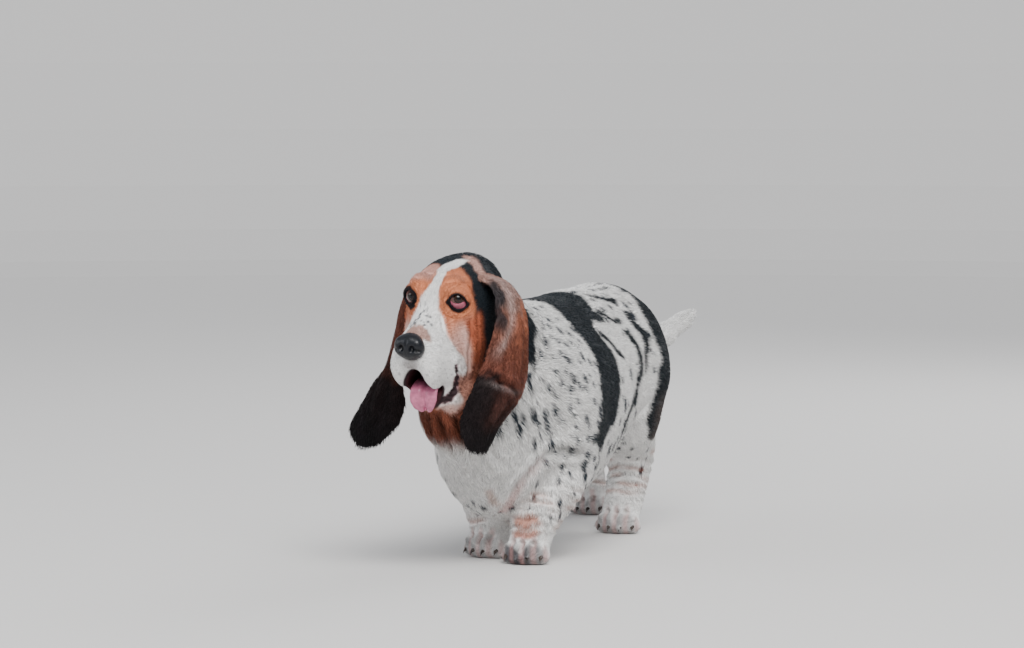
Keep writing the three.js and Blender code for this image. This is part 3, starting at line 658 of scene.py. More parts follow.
spot_draw = np.random.default_rng(31)
dog = in_dog(points_of(skin_mesh))
chosen = dog[spot_draw.choice(len(dog), 16000)]
y, round_body = body_chart(chosen).T
round_body = np.abs(round_body) / DEGREE
likely = 0.07 + 0.9 * step(-80, -150, y) * step(14, 40, round_body) * step(158, 120, round_body)
likely = np.maximum(likely, 0.34 * step(150, 110, chosen[:, 2]) * (chosen[:, 1] < 0) * (chosen[:, 2] > 66))
likely = np.maximum(likely, 0.30 * step(60, 100, y) * step(230, 180, y) * step(60, 30, round_body))
likely *= (chosen[:, 2] > 66) * (chosen[:, 1] < 300) * (y > -345)
likely *= 1 - step(-236, -262, y) * step(210, 180, chosen[:, 2])
chosen = chosen[spot_draw.random(len(chosen)) < likely]
ticks = []
for place in chosen:
    if all(np.linalg.norm(place - other) > TICK_GAP for other in ticks):
        ticks.append(place)
ticks = np.array(ticks)
tick_sizes = spot_draw.choice([2.7, 3.8, 5.0, 6.4], len(ticks), p=[0.3, 0.3, 0.25, 0.15])
tick_sizes *= 1 - 0.3 * step(160, 110, ticks[:, 2])
TICK_STRETCH = np.array([1, 0.9, 0.55])
tick_tree = KDTree(len(ticks))
for index, place in enumerate(ticks * TICK_STRETCH):
    tick_tree.insert(place, index)
tick_tree.balance()
muzzle_dots = spot_draw.normal((-5, -55), (9.5, 12), (34, 2))
muzzle_dot_sizes = spot_draw.uniform(0.9, 2.3, len(muzzle_dots))


def with_ticks(colours, dog, fine):
    """The colours with the grey ticks of the white coat, and the dark streaks low on the left shoulder."""
    nearest = np.zeros(len(dog))
    for row, place in enumerate((dog + fine) * TICK_STRETCH):
        _, index, distance = tick_tree.find(place)
        nearest[row] = distance - tick_sizes[index]
    colours = blend(colours, TICK, step(0.9, -0.9, nearest))
    streaks = step(0.75, 1.25, wander(dog * (0.6, 0.6, 1.6), 9, 27))
    streaks *= step(44, 24, np.linalg.norm((dog - (88, -190, 196)) / (0.8, 1.1, 0.7), axis=1))
    return blend(colours, TICK, 0.8 * streaks)


def with_black(colours, dog, stray):
    """The colours with the black patches and stripes of the trunk, browner and greyer where they wear."""
    chart = body_chart(stray)
    black = np.zeros(len(dog))
    for outline in BLACK_PATCHES:
        flat = [(along, turn * DEGREE) for along, turn in outline]
        black = np.maximum(black, step(2.2, -2.2, outline_distance(chart, flat)))
    black *= step(118, 140, dog[:, 2] + 0.2 * wander(dog, 20, 9))
    for line, half in BLACK_STRIPES:
        flat_line = np.column_stack([body_chart(np.array(line, float)), np.zeros(len(line))])
        distance, along = line_distance(np.column_stack([chart, np.zeros(len(chart))]), flat_line)
        taper = half * np.sqrt(np.clip(np.minimum(along, 1 - along) * 6, 0.04, 1))
        black = np.maximum(black, step(1.6, -1.6, distance - taper))
    tail = step(318, 330, dog[:, 1]) * step(262, 276, dog[:, 2])
    colours = blend(colours, BLUE_SHEEN_BLACK, black * (1 - tail))
    worn = black * step(150, 190, dog[:, 1]) * step(232, 190, dog[:, 2])
    colours = blend(colours, GREY_BROWN, 0.85 * worn)
    flecks = black * step(0.55, 0.95, wander(dog * (1, 0.35, 1), 7, 12)) * 0.10
    return blend(colours, SILVER_FLECK, flecks)


def with_throat(colours, dog, stray):
    """The colours with the tan throat, painted shade in its folds and armpit crease, two streaks on the
    chest and the bare armpit.
    """
    throat, _ = line_distance(stray, [(-20, -372, 262), (-20, -364, 218), (-14, -340, 186)])
    throat_mask = step(50, 34, throat) * step(172, 196, stray[:, 2])
    colours = blend(colours, np.array(TAN) * 1.25, throat_mask)
    colours = blend(colours, TAN, throat_mask * step(-0.2, 0.7, wander(dog, 16, 13)))
    # Painted shade darkens the folds of the throat.
    for line, _, _ in BODY_CREASES[3:6]:
        colours *= (1 - 0.62 * throat_mask * np.exp(-((line_distance(dog, line)[0] / 5) ** 2)))[:, None]
    for streak in ([(-12, -322, 176), (-9, -304, 150)], [(10, -270, 112), (14, -258, 92)]):
        colours = blend(colours, CHEST_STREAK, 0.6 * step(11, 3, line_distance(stray, streak)[0]))
    armpit, _ = line_distance(dog, [(80, -232, 158), (60, -254, 132), (40, -250, 100), (20, -238, 78)])
    colours = blend(colours, BARE_PINK, 0.6 * step(11, 2, armpit))
    # Painted shade darkens the skin along the armpit crease.
    return colours * (1 - 0.35 * step(6, 1, line_distance(dog, BODY_CREASES[0][0])[0]))[:, None]


def with_legs(colours, dog, stray):
    """The colours with the warm rings of the shins, the tan left wrist and the dark and bare toes."""
    for ankle, knee, rings in SHINS:
        shin = line_distance(dog, [ankle, knee])[0]
        tilt = dog[:, 2] + 0.22 * (dog[:, 1] - ankle[1]) + 2.6 * wander(dog, 46, 5)
        for ring, _ in rings:
            warm = np.exp(-(((tilt - ring) / 3.4) ** 2)) * step(58, 46, shin)
            colours = blend(colours, WRIST_TAN, warm * 0.5 * step(-0.6, 0.6, wander(dog + ring, 34, 14)))
    for height, reach in ((62, 9), (46, 6)):
        patch = np.linalg.norm((stray - (50, -224, height)) / (24, 26, reach), axis=1)
        colours = blend(colours, WRIST_TAN, 0.8 * step(1.3, 0.6, patch))
    for paw, dark in PAW_TOE_DARKNESS.items():
        toe = in_paw(dog, paw)
        near = step(50, 44, np.abs(toe[:, 0])) * step(60, 50, np.abs(toe[:, 1])) * step(48, 40, toe[:, 2])
        between = np.abs((toe[:, 0] / TOE_PITCH + 100.5) % 1 - 0.5)
        # The toes are darker low at the front, most on the paw's -x side.
        toe_dark = step(-8, -26, toe[:, 1]) * step(34, 20, toe[:, 2] + 6 * wander(toe, 14, 15))
        toe_dark *= 0.75 + 0.25 * step(20, 0, toe[:, 0])
        colours = blend(colours, TOE_DARK, near * dark * 0.95 * toe_dark)
        bare = near * 0.45 * step(-6, -20, toe[:, 1]) * step(0.62, 0.95, 1 - between)
        colours = blend(colours, BARE_PINK, bare)
    return colours


def face_colours(dog, face, stray_face):
    """The colours of the head, from the black of its temples to the dots on its white muzzle."""
    x, y, z = stray_face.T
    side = np.abs(x)
    head_colours = np.tile(np.array(BLUE_SHEEN_BLACK), (len(dog), 1))
    near_edge = np.interp(side, [4, 12, 30, 40, 46, 50, 56], [44, 42, 33, 25, 16, 10, 2])
    far_edge = np.interp(side, [6, 15, 30, 45, 56], [28, 40, 50, 42, 16])
    warm = step(4, -4, y - np.where(x > 0, near_edge, far_edge))
    paling = step(-10, -48, z + 5 * wander(dog, 24, 28)) * step(56, 46, side)
    warm_colours = np.array(ORANGE) * (1 - paling[:, None]) + np.array(PINKISH) * paling[:, None]
    flushed = paling * step(-0.3, 0.9, wander(dog * (1, 1, 0.5), 15, 16))
    warm_colours = blend(warm_colours, FLUSHED, 0.45 * flushed)
    head_colours = head_colours * (1 - warm[:, None]) + warm_colours * warm[:, None]
    strip = step(-17, -9, y) * step(20, 12, y) * step(-12, -28, z) * step(-144, -126, z)
    head_colours = blend(head_colours, RUST, strip)
    far_brow = warm * step(0, -12, x) * step(-2, 14, z) * step(-14, 2, y)
    head_colours = blend(head_colours, FAR_BROW, 0.85 * far_brow)
    dusky = warm * step(9, 3, np.abs(y + 4 - 0.3 * side)) * step(20, 30, z)
    head_colours = blend(head_colours, DUSKY, 0.35 * dusky)
    jowl = step(-86, -108, z) * step(-52, -42, y)
    head_colours = blend(head_colours, JOWL, 0.85 * jowl * warm)
    band = step(12, 7, line_distance(stray_face, EAR_BAND_LINE)[0] + 1.2 * wander(dog, 12, 29))
    head_colours = blend(head_colours, EAR_BAND, 0.9 * band)
    half = np.interp(y, [-62, -52, -46, -39, -33, -27, -21, -10, 8, 28, 43, 60, 74],
                     [60, 36, 34, 27, 20, 12, 8.5, 7, 7.5, 10, 11, 8, 3])
    centre = np.interp(y, [-40, -33, -27, -21, -10, 8, 28, 43, 60, 72],
                       [-2, -4, 0, 2.5, 4, 2.5, 1, 5, 9, 14])
    blaze = step(1.4, -1.4, np.abs(x - centre) - half) * step(-42, -28, z) * step(76, 68, y)
    muzzle = step(-41, -46, y + 0.10 * (z + 40)) * step(-136, -126, z)
    muzzle *= np.maximum(step(-100, -88, z), step(-50, -58, y))
    chin = step(-40, -50, y) * step(-96, -106, z) * step(-138, -130, z)
    lip_roll = step(9, 5, line_distance(face, [(41, -46, -60), (45, -36, -74), (45, -34, -90)])[0])
    white = np.maximum(np.maximum(blaze, muzzle), np.maximum(0.85 * lip_roll, 0.8 * chin))
    head_colours = blend(head_colours, WHITE, white)
    bridge = np.linalg.norm((stray_face - (5, -83, -12)) / (25, 12, 22), axis=1)
    bridge += 0.12 * wander(dog, 6, 30)
    head_colours = blend(head_colours, BRIDGE_BROWN, 0.85 * step(1.15, 0.75, bridge))
    for (dot_x, dot_y), size in zip(muzzle_dots, muzzle_dot_sizes):
        away = np.hypot(x - dot_x, (y - dot_y) * 0.8)
        dot = 0.85 * step(size + 0.6, size - 0.5, away) * step(-34, -26, z)
        head_colours = blend(head_colours, TICK, dot)
    # Grey specks on the muzzle side: the whisker beds, with painted shade there too.
    bristles_and_shade = step(0.8, 1.3, wander(face, 4, 26)) * step(-40, -50, z)
    bristles_and_shade = bristles_and_shade * step(-52, -66, y) * step(-104, -92, z)
    head_colours = blend(head_colours, BRISTLE_AND_SHADE, 0.6 * bristles_and_shade)
    lip_shadow = np.linalg.norm((stray_face - (0, -108, -54)) / (14, 22, 14), axis=1)
    return blend(head_colours, LIP_SHADOW, 0.6 * step(1.2, 0.4, lip_shadow))


def with_lids_and_lips(head_colours, dog, face, stray_face):
    """The head's colours with the black rims of the lids, wider round the far eye as painted shade, the
    dark lips and the inside of the mouth, darkened as painted shade.
    """
    for eye_side in (1, -1):
        reach, v, h = eye_reach(face, eye_side)
        margin = 1.17 + 0.42 * step(4, -8, v) * step(14, -2, h)
        margin += 0.35 * step(-6, -12, h) * step(6, 0, np.abs(v - 1))
        # The far eye's black rim is painted wider as painted shade, since that eye lies in shadow.
        margin += 0.05 * wander(dog, 8, 17) + 0.22 * (eye_side < 0)
        rim = step(margin + 0.22, margin - 0.06, reach)
        head_colours = blend(head_colours, LID_BLACK, rim)
    for lips in (face, face * (-1, 1, 1)):
        corner, low_down = line_distance(lips, LIP_CORNER)
        corner = corner - 3.4 * step(0.0, 0.6, low_down)
        flesh = step(4.6, 2.4, corner + 1.2 * wander(dog, 9, 32))
        head_colours = blend(head_colours, LIP_FLESH, 0.9 * flesh)
        dark = 0.95 * step(3.2, 1.6, corner + 1.1 * wander(dog, 6, 18))
        head_colours = blend(head_colours, DARK_LIP, dark)
    hollow = np.linalg.norm((face - MOUTH_MIDDLE) / MOUTH_RADII, axis=1)
    mouth = step(1.16, 1.07, hollow) * step(-60, -64, stray_face[:, 2])
    head_colours = blend(head_colours, DARK_LIP, mouth)
    # The inside of the mouth is its flesh colour darkened as painted shade.
    inner = step(1.03, 0.92, hollow)
    return blend(head_colours, MOUTH_INSIDE_SHADE, 0.75 * inner)


def coat_colours(dog):
    """The coat's colour at each place, given in millimetres from the spot under the withers."""
    face = in_head(dog)
    fine = np.stack([wander(dog, 9, seed) for seed in (1, 2, 3)], 1)
    broad = np.stack([wander(dog, 30, seed) for seed in (4, 6, 7)], 1)
    stray = dog + 1.5 * fine + 3.2 * broad
    stray_face = in_head(dog + 0.9 * fine + 1.3 * broad)
    colours = np.tile(np.array(WHITE), (len(dog), 1))
    colours *= 1 + 0.03 * wander(dog, 60, 8)[:, None]
    colours = with_ticks(colours, dog, fine)
    colours = with_black(colours, dog, stray)
    colours = with_throat(colours, dog, stray)
    colours = with_legs(colours, dog, stray)
    head_colours = face_colours(dog, face, stray_face)
    head_colours = with_lids_and_lips(head_colours, dog, face, stray_face)
    ragged = 7 * wander(dog, 30, 33) + 2.5 * wander(dog, 9, 34)
    head = step(102, 94, face[:, 1] + ragged) * step(-146, -134, face[:, 2] + ragged)
    colours = colours * (1 - head[:, None]) + head_colours * head[:, None]
    return np.clip(colours, 0.004, 0.95)


def paint_points(mesh, name, colours):
    """Keeps a colour at each of the mesh's points, for its material to read."""
    layer = mesh.color_attributes.new(name, "FLOAT_COLOR", "POINT")
    with_alpha = np.column_stack([colours, np.ones(len(colours))])
    layer.data.foreach_set("color", with_alpha.astype(np.float32).ravel())


paint_points(skin_mesh, "coat_colour", coat_colours(in_dog(points_of(skin_mesh))))


def socket(group, name, kind, way, value=None):
    """Adds a named input or output to a shader group."""
    made = group.interface.new_socket(name, in_out=way, socket_type=kind)
    if value is not None:
        made.default_value = value


short_hair = bpy.data.node_groups.new("short_hair", "ShaderNodeTree")
socket(short_hair, "Across", "NodeSocketVector", "INPUT", (260, 60, 200))
socket(short_hair, "Height", "NodeSocketFloat", "OUTPUT")
socket(short_hair, "Shade", "NodeSocketFloat", "OUTPUT")
nodes, links = short_hair.nodes, short_hair.links
group_in = nodes.new("NodeGroupInput")
group_out = nodes.new("NodeGroupOutput")
place = nodes.new("ShaderNodeTexCoord")
stretch = nodes.new("ShaderNodeVectorMath")
stretch.operation = "MULTIPLY"
strands = nodes.new("ShaderNodeTexNoise")
strands.inputs["Scale"].default_value = 2.2
strands.inputs["Detail"].default_value = 4
strands.inputs["Roughness"].default_value = 0.6
clumps = nodes.new("ShaderNodeTexNoise")
clumps.inputs["Scale"].default_value = 0.5
clumps.inputs["Detail"].default_value = 2
both = nodes.new("ShaderNodeMath")
both.operation = "ADD"
shade = nodes.new("ShaderNodeMapRange")
shade.inputs["From Min"].default_value = 0.7
shade.inputs["From Max"].default_value = 1.3
shade.inputs["To Min"].default_value = 0.80
shade.inputs["To Max"].default_value = 1.08
links.new(place.outputs["Object"], stretch.inputs[0])
links.new(group_in.outputs["Across"], stretch.inputs[1])
links.new(stretch.outputs["Vector"], strands.inputs["Vector"])
links.new(stretch.outputs["Vector"], clumps.inputs["Vector"])
links.new(strands.outputs["Fac"], both.inputs[0])
links.new(clumps.outputs["Fac"], both.inputs[1])
links.new(both.outputs["Value"], shade.inputs["Value"])
links.new(both.outputs["Value"], group_out.inputs["Height"])
links.new(shade.outputs["Result"], group_out.inputs["Shade"])


def hair_material(name, across, roughness, bump):
    """A lying coat: the painted colour, streaked and raised along the hairs."""
    material = bpy.data.materials.new(name)
    material.use_nodes = True
    nodes, links = material.node_tree.nodes, material.node_tree.links
    surface = nodes["Principled BSDF"]
    painted = nodes.new("ShaderNodeAttribute")
    painted.attribute_name = "coat_colour"
    hair = nodes.new("ShaderNodeGroup")
    hair.node_tree = short_hair
    hair.inputs["Across"].default_value = across
    tinted = nodes.new("ShaderNodeVectorMath")
    tinted.operation = "SCALE"
    raised = nodes.new("ShaderNodeBump")
    raised.inputs["Strength"].default_value = bump
    raised.inputs["Distance"].default_value = 0.0012
    links.new(painted.outputs["Color"], tinted.inputs[0])
    links.new(hair.outputs["Shade"], tinted.inputs["Scale"])
    links.new(tinted.outputs["Vector"], surface.inputs["Base Color"])
    links.new(hair.outputs["Height"], raised.inputs["Height"])
    links.new(raised.outputs["Normal"], surface.inputs["Normal"])
    surface.inputs["Roughness"].default_value = roughness
    surface.inputs["Specular IOR Level"].default_value = 0.10
    return material


skin_mesh.materials.append(hair_material("skin_hair", (260, 70, 190), 0.66, 0.5))
skin = bpy.data.objects.new("skin", skin_mesh)
bpy.context.scene.collection.objects.link(skin)
skin_mesh.polygons.foreach_set("use_smooth", np.ones(len(skin_mesh.polygons), bool))
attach(skin, "root")
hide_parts(*FLESH)

# Eyes
# A glass eye in each socket: a ball with a bulging front and a dark brown iris that looks up at the
# viewer, and below it the pink haw, a wet fold that the drooping lower lid uncovers.

EYE_SIZE = 13.4
IRIS = 7.4
BULGE = 1.3
HAW_TOP = [(-11.0, 3.0), (-8.0, 1.4), (-3.0, -1.2), (3.0, -1.8), (8.0, -0.6), (11.5, -1.4), (14.0, -5.2)]
HAW_FOOT = [
    (-11.6, 1.6), (-8.8, -5.0), (-5.0, -9.2), (0.0, -11.6), (5.2, -11.7), (10.2, -9.4), (13.8, -5.4),
]


def new_piece(name, mesh):
    """A piece in place in the model, shaded smooth and riding on it."""
    piece = bpy.data.objects.new(name, mesh)
    bpy.context.scene.collection.objects.link(piece)
    mesh.polygons.foreach_set("use_smooth", np.ones(len(mesh.polygons), bool))
    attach(piece, "root")
    return piece


def wet_material(name, colour, roughness, coat, bump_scale=0, bump=0):
    """A damp, glossy surface of one colour, mottled, and with a fine grain where a bump is given."""
    material = bpy.data.materials.new(name)
    material.use_nodes = True
    nodes, links = material.node_tree.nodes, material.node_tree.links
    surface = nodes["Principled BSDF"]
    surface.inputs["Roughness"].default_value = roughness
    surface.inputs["Coat Weight"].default_value = coat
    surface.inputs["Coat Roughness"].default_value = 0.08
    surface.inputs["Specular IOR Level"].default_value = 0.25
    place = nodes.new("ShaderNodeTexCoord")
    mottle = nodes.new("ShaderNodeTexNoise")
    mottle.inputs["Scale"].default_value = 160
    mottle.inputs["Detail"].default_value = 3
    ramp = nodes.new("ShaderNodeValToRGB")
    ramp.color_ramp.elements[0].position = 0.3
    ramp.color_ramp.elements[1].position = 0.7
    ramp.color_ramp.elements[0].color = (*[c * 0.72 for c in colour], 1)
    ramp.color_ramp.elements[1].color = (*[min(c * 1.15, 1) for c in colour], 1)
    links.new(place.outputs["Object"], mottle.inputs["Vector"])
    links.new(mottle.outputs["Fac"], ramp.inputs["Fac"])
    links.new(ramp.outputs["Color"], surface.inputs["Base Color"])
    if bump:
        grain = nodes.new("ShaderNodeTexVoronoi")
        grain.inputs["Scale"].default_value = bump_scale
        raised = nodes.new("ShaderNodeBump")
        raised.inputs["Strength"].default_value = bump
        raised.inputs["Distance"].default_value = 0.0005
        raised.invert = True
        links.new(place.outputs["Object"], grain.inputs["Vector"])
        links.new(grain.outputs["Distance"], raised.inputs["Height"])
        links.new(raised.outputs["Normal"], surface.inputs["Normal"])
    return material


eye_glass = bpy.data.materials.new("eye_glass")
eye_glass.use_nodes = True
nodes, links = eye_glass.node_tree.nodes, eye_glass.node_tree.links
surface = nodes["Principled BSDF"]
surface.inputs["Roughness"].default_value = 0.05
surface.inputs["Specular IOR Level"].default_value = 0.2
surface.inputs["Coat Weight"].default_value = 0.25
surface.inputs["Coat Roughness"].default_value = 0.01
reach = nodes.new("ShaderNodeAttribute")
reach.attribute_name = "iris_reach"
rays = nodes.new("ShaderNodeTexNoise")
rays.inputs["Scale"].default_value = 900
uneven = nodes.new("ShaderNodeMath")
uneven.operation = "MULTIPLY_ADD"
uneven.inputs[1].default_value = 0.05
ramp = nodes.new("ShaderNodeValToRGB")
# Past the iris the eye's white is a dark red-brown: painted shade, as the far eye lies in shadow and both
# eyes share this glass.
stops = [(0.0, (0.002, 0.002, 0.003)), (0.20, (0.002, 0.002, 0.003)), (0.25, (0.014, 0.006, 0.003)),
         (0.42, (0.026, 0.010, 0.005)), (0.53, (0.004, 0.002, 0.002)), (0.57, (0.10, 0.05, 0.045)),
         (1.0, (0.20, 0.10, 0.09))]
while len(ramp.color_ramp.elements) < len(stops):
    ramp.color_ramp.elements.new(0.5)
for element, (at, colour) in zip(ramp.color_ramp.elements, stops):
    element.position = at
    element.color = (*colour, 1)
place = nodes.new("ShaderNodeTexCoord")
links.new(place.outputs["Object"], rays.inputs["Vector"])
links.new(rays.outputs["Fac"], uneven.inputs[0])
links.new(reach.outputs["Fac"], uneven.inputs[2])
links.new(uneven.outputs["Value"], ramp.inputs["Fac"])
links.new(ramp.outputs["Color"], surface.inputs["Base Color"])
haw_wet = wet_material("haw_wet", (0.33, 0.08, 0.12), 0.3, 0.3)

camera_in_head = in_head(np.array(camera.location) * 1000 - UNDER_WITHERS)
for side, word in ((1, "left"), (-1, "right")):
    middle, out, up, ahead = eye_frame(side)
    to_viewer = camera_in_head - middle
    to_viewer /= np.linalg.norm(to_viewer)
    lifted = np.array((0, 0, 1)) - to_viewer[2] * to_viewer
    lifted /= np.linalg.norm(lifted)
    gaze = to_viewer + math.tan(math.radians(6)) * lifted
    gaze += out * 0.18 if side > 0 else 1.3 * ahead
    gaze /= np.linalg.norm(gaze)
    ball = bmesh.new()
    bmesh.ops.create_uvsphere(ball, u_segments=48, v_segments=40, radius=EYE_SIZE)
    reach_layer = ball.verts.layers.float.new("iris_reach")
    turn = Vector((0, 0, 1)).rotation_difference(Vector(gaze)).to_matrix()
    for vert in ball.verts:
        off_gaze = math.acos(max(-1, min(1, vert.co.z / EYE_SIZE))) * EYE_SIZE
        vert[reach_layer] = off_gaze / 14
        vert.co *= 1 + BULGE / EYE_SIZE * max(0, 1 - (off_gaze / (IRIS + 0.8)) ** 2)
        vert.co = Vector(from_head(np.array(turn @ vert.co) + middle))
    bmesh.ops.recalc_face_normals(ball, faces=ball.faces)
    eye_mesh = bpy.data.meshes.new("eyeball_" + word)
    ball.to_mesh(eye_mesh)
    ball.free()
    eye_mesh.materials.append(eye_glass)
    eyeball = new_piece("eyeball_" + word, eye_mesh)
    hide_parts("eye_" + word)

    fold = bmesh.new()
    bmesh.ops.create_grid(fold, x_segments=30, y_segments=9, size=1)
    top, foot = np.array(HAW_TOP), np.array(HAW_FOOT)
    if side < 0:
        top = top * 0.2 + foot * 0.8
    ends = np.linspace(-1, 1, len(HAW_TOP))
    for vert in fold.verts:
        t = (vert.co.y + 1) / 2
        h = np.interp(vert.co.x, ends, top[:, 0]) * t + np.interp(vert.co.x, ends, foot[:, 0]) * (1 - t)
        v = np.interp(vert.co.x, ends, top[:, 1]) * t + np.interp(vert.co.x, ends, foot[:, 1]) * (1 - t)
        from_middle = math.hypot(h, v)
        on_ball = math.sqrt(max(EYE_SIZE**2 - from_middle**2, 0.0))
        at_lid = EYE_RADIUS * math.sqrt(max(1 - (from_middle / (EYE_RADIUS * FLATTER)) ** 2, 0.0)) - 0.7
        depth = max(on_ball + 0.5, at_lid * (1 - t) + (on_ball + 0.6) * t)
        depth += 0.7 * math.sin(math.pi * t) ** 0.7
        vert.co = Vector(from_head(middle + out * h + up * v + ahead * depth))
    bmesh.ops.solidify(fold, geom=fold.faces[:], thickness=0.0007)
    bmesh.ops.recalc_face_normals(fold, faces=fold.faces)
    haw_mesh = bpy.data.meshes.new("haw_" + word)
    fold.to_mesh(haw_mesh)
    fold.free()
    haw_mesh.materials.append(haw_wet)
    new_piece("haw_" + word, haw_mesh)

# Nose
# The bare black leather of the nose, damp and pebbled, with comma-shaped nostrils and a groove down
# its middle to the lip.


def smoothed(node, name, cell, rounds, grow=SEAM):
    """One solid as a fine closed mesh of that name, smoothed all over so many rounds."""
    mesh = fused([node], cell, grow)
    largest_shell(mesh)
    mesh.name = name
    move_points(mesh, relaxed(mesh, np.full(len(mesh.vertices), float(rounds)), rounds))
    return mesh


nose_mesh = smoothed("nose", "nose_leather", 0.0013, 7)
leather = in_head(in_dog(points_of(nose_mesh)))
height = crease(leather, [(0, -112, -10), (0, -120, -22), (0, -118, -44)], 1.3, 1.5, 0.3)
for side in (leather, leather * (-1, 1, 1)):
    height += swelling(side, (16, -108, -16), (9, 14, 9), 1.4)
    height += swelling(side, (9.5, -122, -24), (7.5, 9, 7.5), -3.4)
    height += swelling(side, (18, -116, -27.5), (8, 8, 3.6), -2.2)
raise_points(nose_mesh, height)
nose_mesh.materials.append(wet_material("nose_leather", (0.005, 0.006, 0.009), 0.34, 0.20, 620, 0.55))
nose = new_piece("nose_leather", nose_mesh)
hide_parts("nose")

# Tongue
# The tongue hangs out over the lower lip: soft, wet and pink, with a groove down its middle and a
# fine nap of papillae.

tongue_mesh = smoothed("tongue", "tongue_flesh", 0.0015, 12)
flesh = in_head(in_dog(points_of(tongue_mesh)))
from_groove = np.abs(flesh[:, 0] - 8.5 + 0.03 * (flesh[:, 2] + 100))
height = 0.9 * np.exp(-(((from_groove - 6.5) / 3.2) ** 2)) - 2.2 * np.exp(-((from_groove / 2.2) ** 2))
height -= 3.5 * np.exp(-((from_groove / 3.2) ** 2)) * step(-120, -130, flesh[:, 2])
height += 0.35 * wander(flesh, 12, 41)
raise_points(tongue_mesh, height)
tongue_mesh.materials.append(wet_material("tongue_wet", (0.54, 0.155, 0.26), 0.34, 0.5, 1100, 0.35))
tongue = new_piece("tongue_flesh", tongue_mesh)
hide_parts("tongue")

# Ears
# Long thin leathers that hang in folds, rust brown going black at the lobe. Each is fused fine from its
# solid, curled in at its edges, and sunk into the head at its root.

EAR_CELL = 0.0024
EAR_LENGTH = 262
HEAD_CORE = np.array([-15.0, -320.0, 400.0])
# The front and rear edge of each ear at each step from its root to its lobe.
EAR_LINES = {
    "ear_left": [
        ((22, -356, 428), (34, -296, 414)), ((54, -364, 408), (60, -292, 398)),
        ((62, -368, 362), (76, -290, 350)), ((52, -378, 318), (81, -292, 314)),
        ((41, -392, 281), (84, -300, 280)), ((30, -398, 252), (79, -314, 250)),
        ((20, -398, 222), (62, -334, 222)), ((24, -394, 194), (48, -342, 194)),
        ((31, -388, 178), (42, -352, 174)),
    ],
    "ear_right": [
        ((-46, -352, 426), (-58, -296, 414)), ((-70, -358, 404), (-80, -298, 394)),
        ((-76, -380, 352), (-92, -330, 342)), ((-76, -392, 308), (-104, -345, 300)),
        ((-69, -395, 270), (-134, -356, 261)), ((-66, -394, 240), (-157, -362, 223)),
        ((-77, -393, 212), (-167, -366, 198)), ((-104, -390, 184), (-151, -372, 178)),
    ],
}
# Each fold runs along places down and across the ear, with its depth and its width.
EAR_FOLDS = {
    "ear_left": [
        ([(0.02, -0.5), (0.25, -0.55), (0.5, -0.45), (0.75, -0.2), (0.95, 0.1)], 3.0, 5.0),
        ([(0.03, 0.3), (0.2, 0.25), (0.4, 0.45), (0.56, 0.8)], 2.6, 5.0),
        ([(0.60, -1.0), (0.63, -0.4), (0.62, 0.2), (0.66, 0.9)], 5.6, 4.6),
        ([(0.66, 0.5), (0.8, 0.35), (0.98, 0.4)], 2.4, 4.0),
    ],
    "ear_right": [
        ([(0.02, 0.4), (0.3, 0.3), (0.6, 0.25), (0.9, 0.3)], 3.2, 6.0),
        ([(0.45, -0.6), (0.7, -0.45), (0.95, -0.2)], 3.0, 6.0),
    ],
}


def ear_chart(name, dog):
    """Each point's place down the ear, from 0 to 1, and across it, from -1 in front to 1 behind, with the
    ear's width there and the way out of its outer face."""
    lines = np.array(EAR_LINES[name], float)
    spine = lines.mean(1)
    across = lines[:, 1] - lines[:, 0]
    _, down = line_distance(dog, spine)
    lengths = np.concatenate([[0], np.cumsum(np.linalg.norm(np.diff(spine, axis=0), axis=1))])
    rows = lengths / lengths[-1]
    middle = np.stack([np.interp(down, rows, spine[:, k]) for k in range(3)], 1)
    spread = np.stack([np.interp(down, rows, across[:, k]) for k in range(3)], 1)
    width = np.linalg.norm(spread, axis=1)
    sideways = np.sum((dog - middle) * spread, 1) / width**2 * 2
    run = np.stack([np.interp(down, rows, np.gradient(spine[:, k], rows)) for k in range(3)], 1)
    outward = np.cross(run, spread) * (1 if name == "ear_left" else -1)
    outward /= np.linalg.norm(outward, axis=1)[:, None]
    outward *= np.sign(outward[:, :1]) * (1 if name == "ear_left" else -1)
    return down, sideways, width, outward


FRONT_FOLD_HIGHLIGHT = (0.40, 0.29, 0.265)
LOBE_BLACK = (0.010, 0.008, 0.009)
CROSS_FOLD_HIGHLIGHT = (0.20, 0.165, 0.16)
REAR_TIP = (0.30, 0.12, 0.09)
# Each ear's colours from its root, at 0, to its lobe, at 1.
EAR_SHADES = {
    "ear_left": [
        (0.00, (0.48, 0.27, 0.215)), (0.14, (0.30, 0.19, 0.165)), (0.22, (0.26, 0.14, 0.11)),
        (0.29, (0.33, 0.115, 0.066)), (0.42, (0.155, 0.052, 0.033)), (0.60, (0.125, 0.042, 0.029)),
        (0.72, (0.070, 0.028, 0.022)), (1.00, (0.014, 0.010, 0.010)),
    ],
    "ear_right": [
        (0.00, (0.15, 0.052, 0.034)), (0.34, (0.12, 0.038, 0.025)), (0.52, (0.050, 0.016, 0.011)),
        (0.66, (0.009, 0.005, 0.005)), (1.00, (0.004, 0.003, 0.004)),
    ],
}


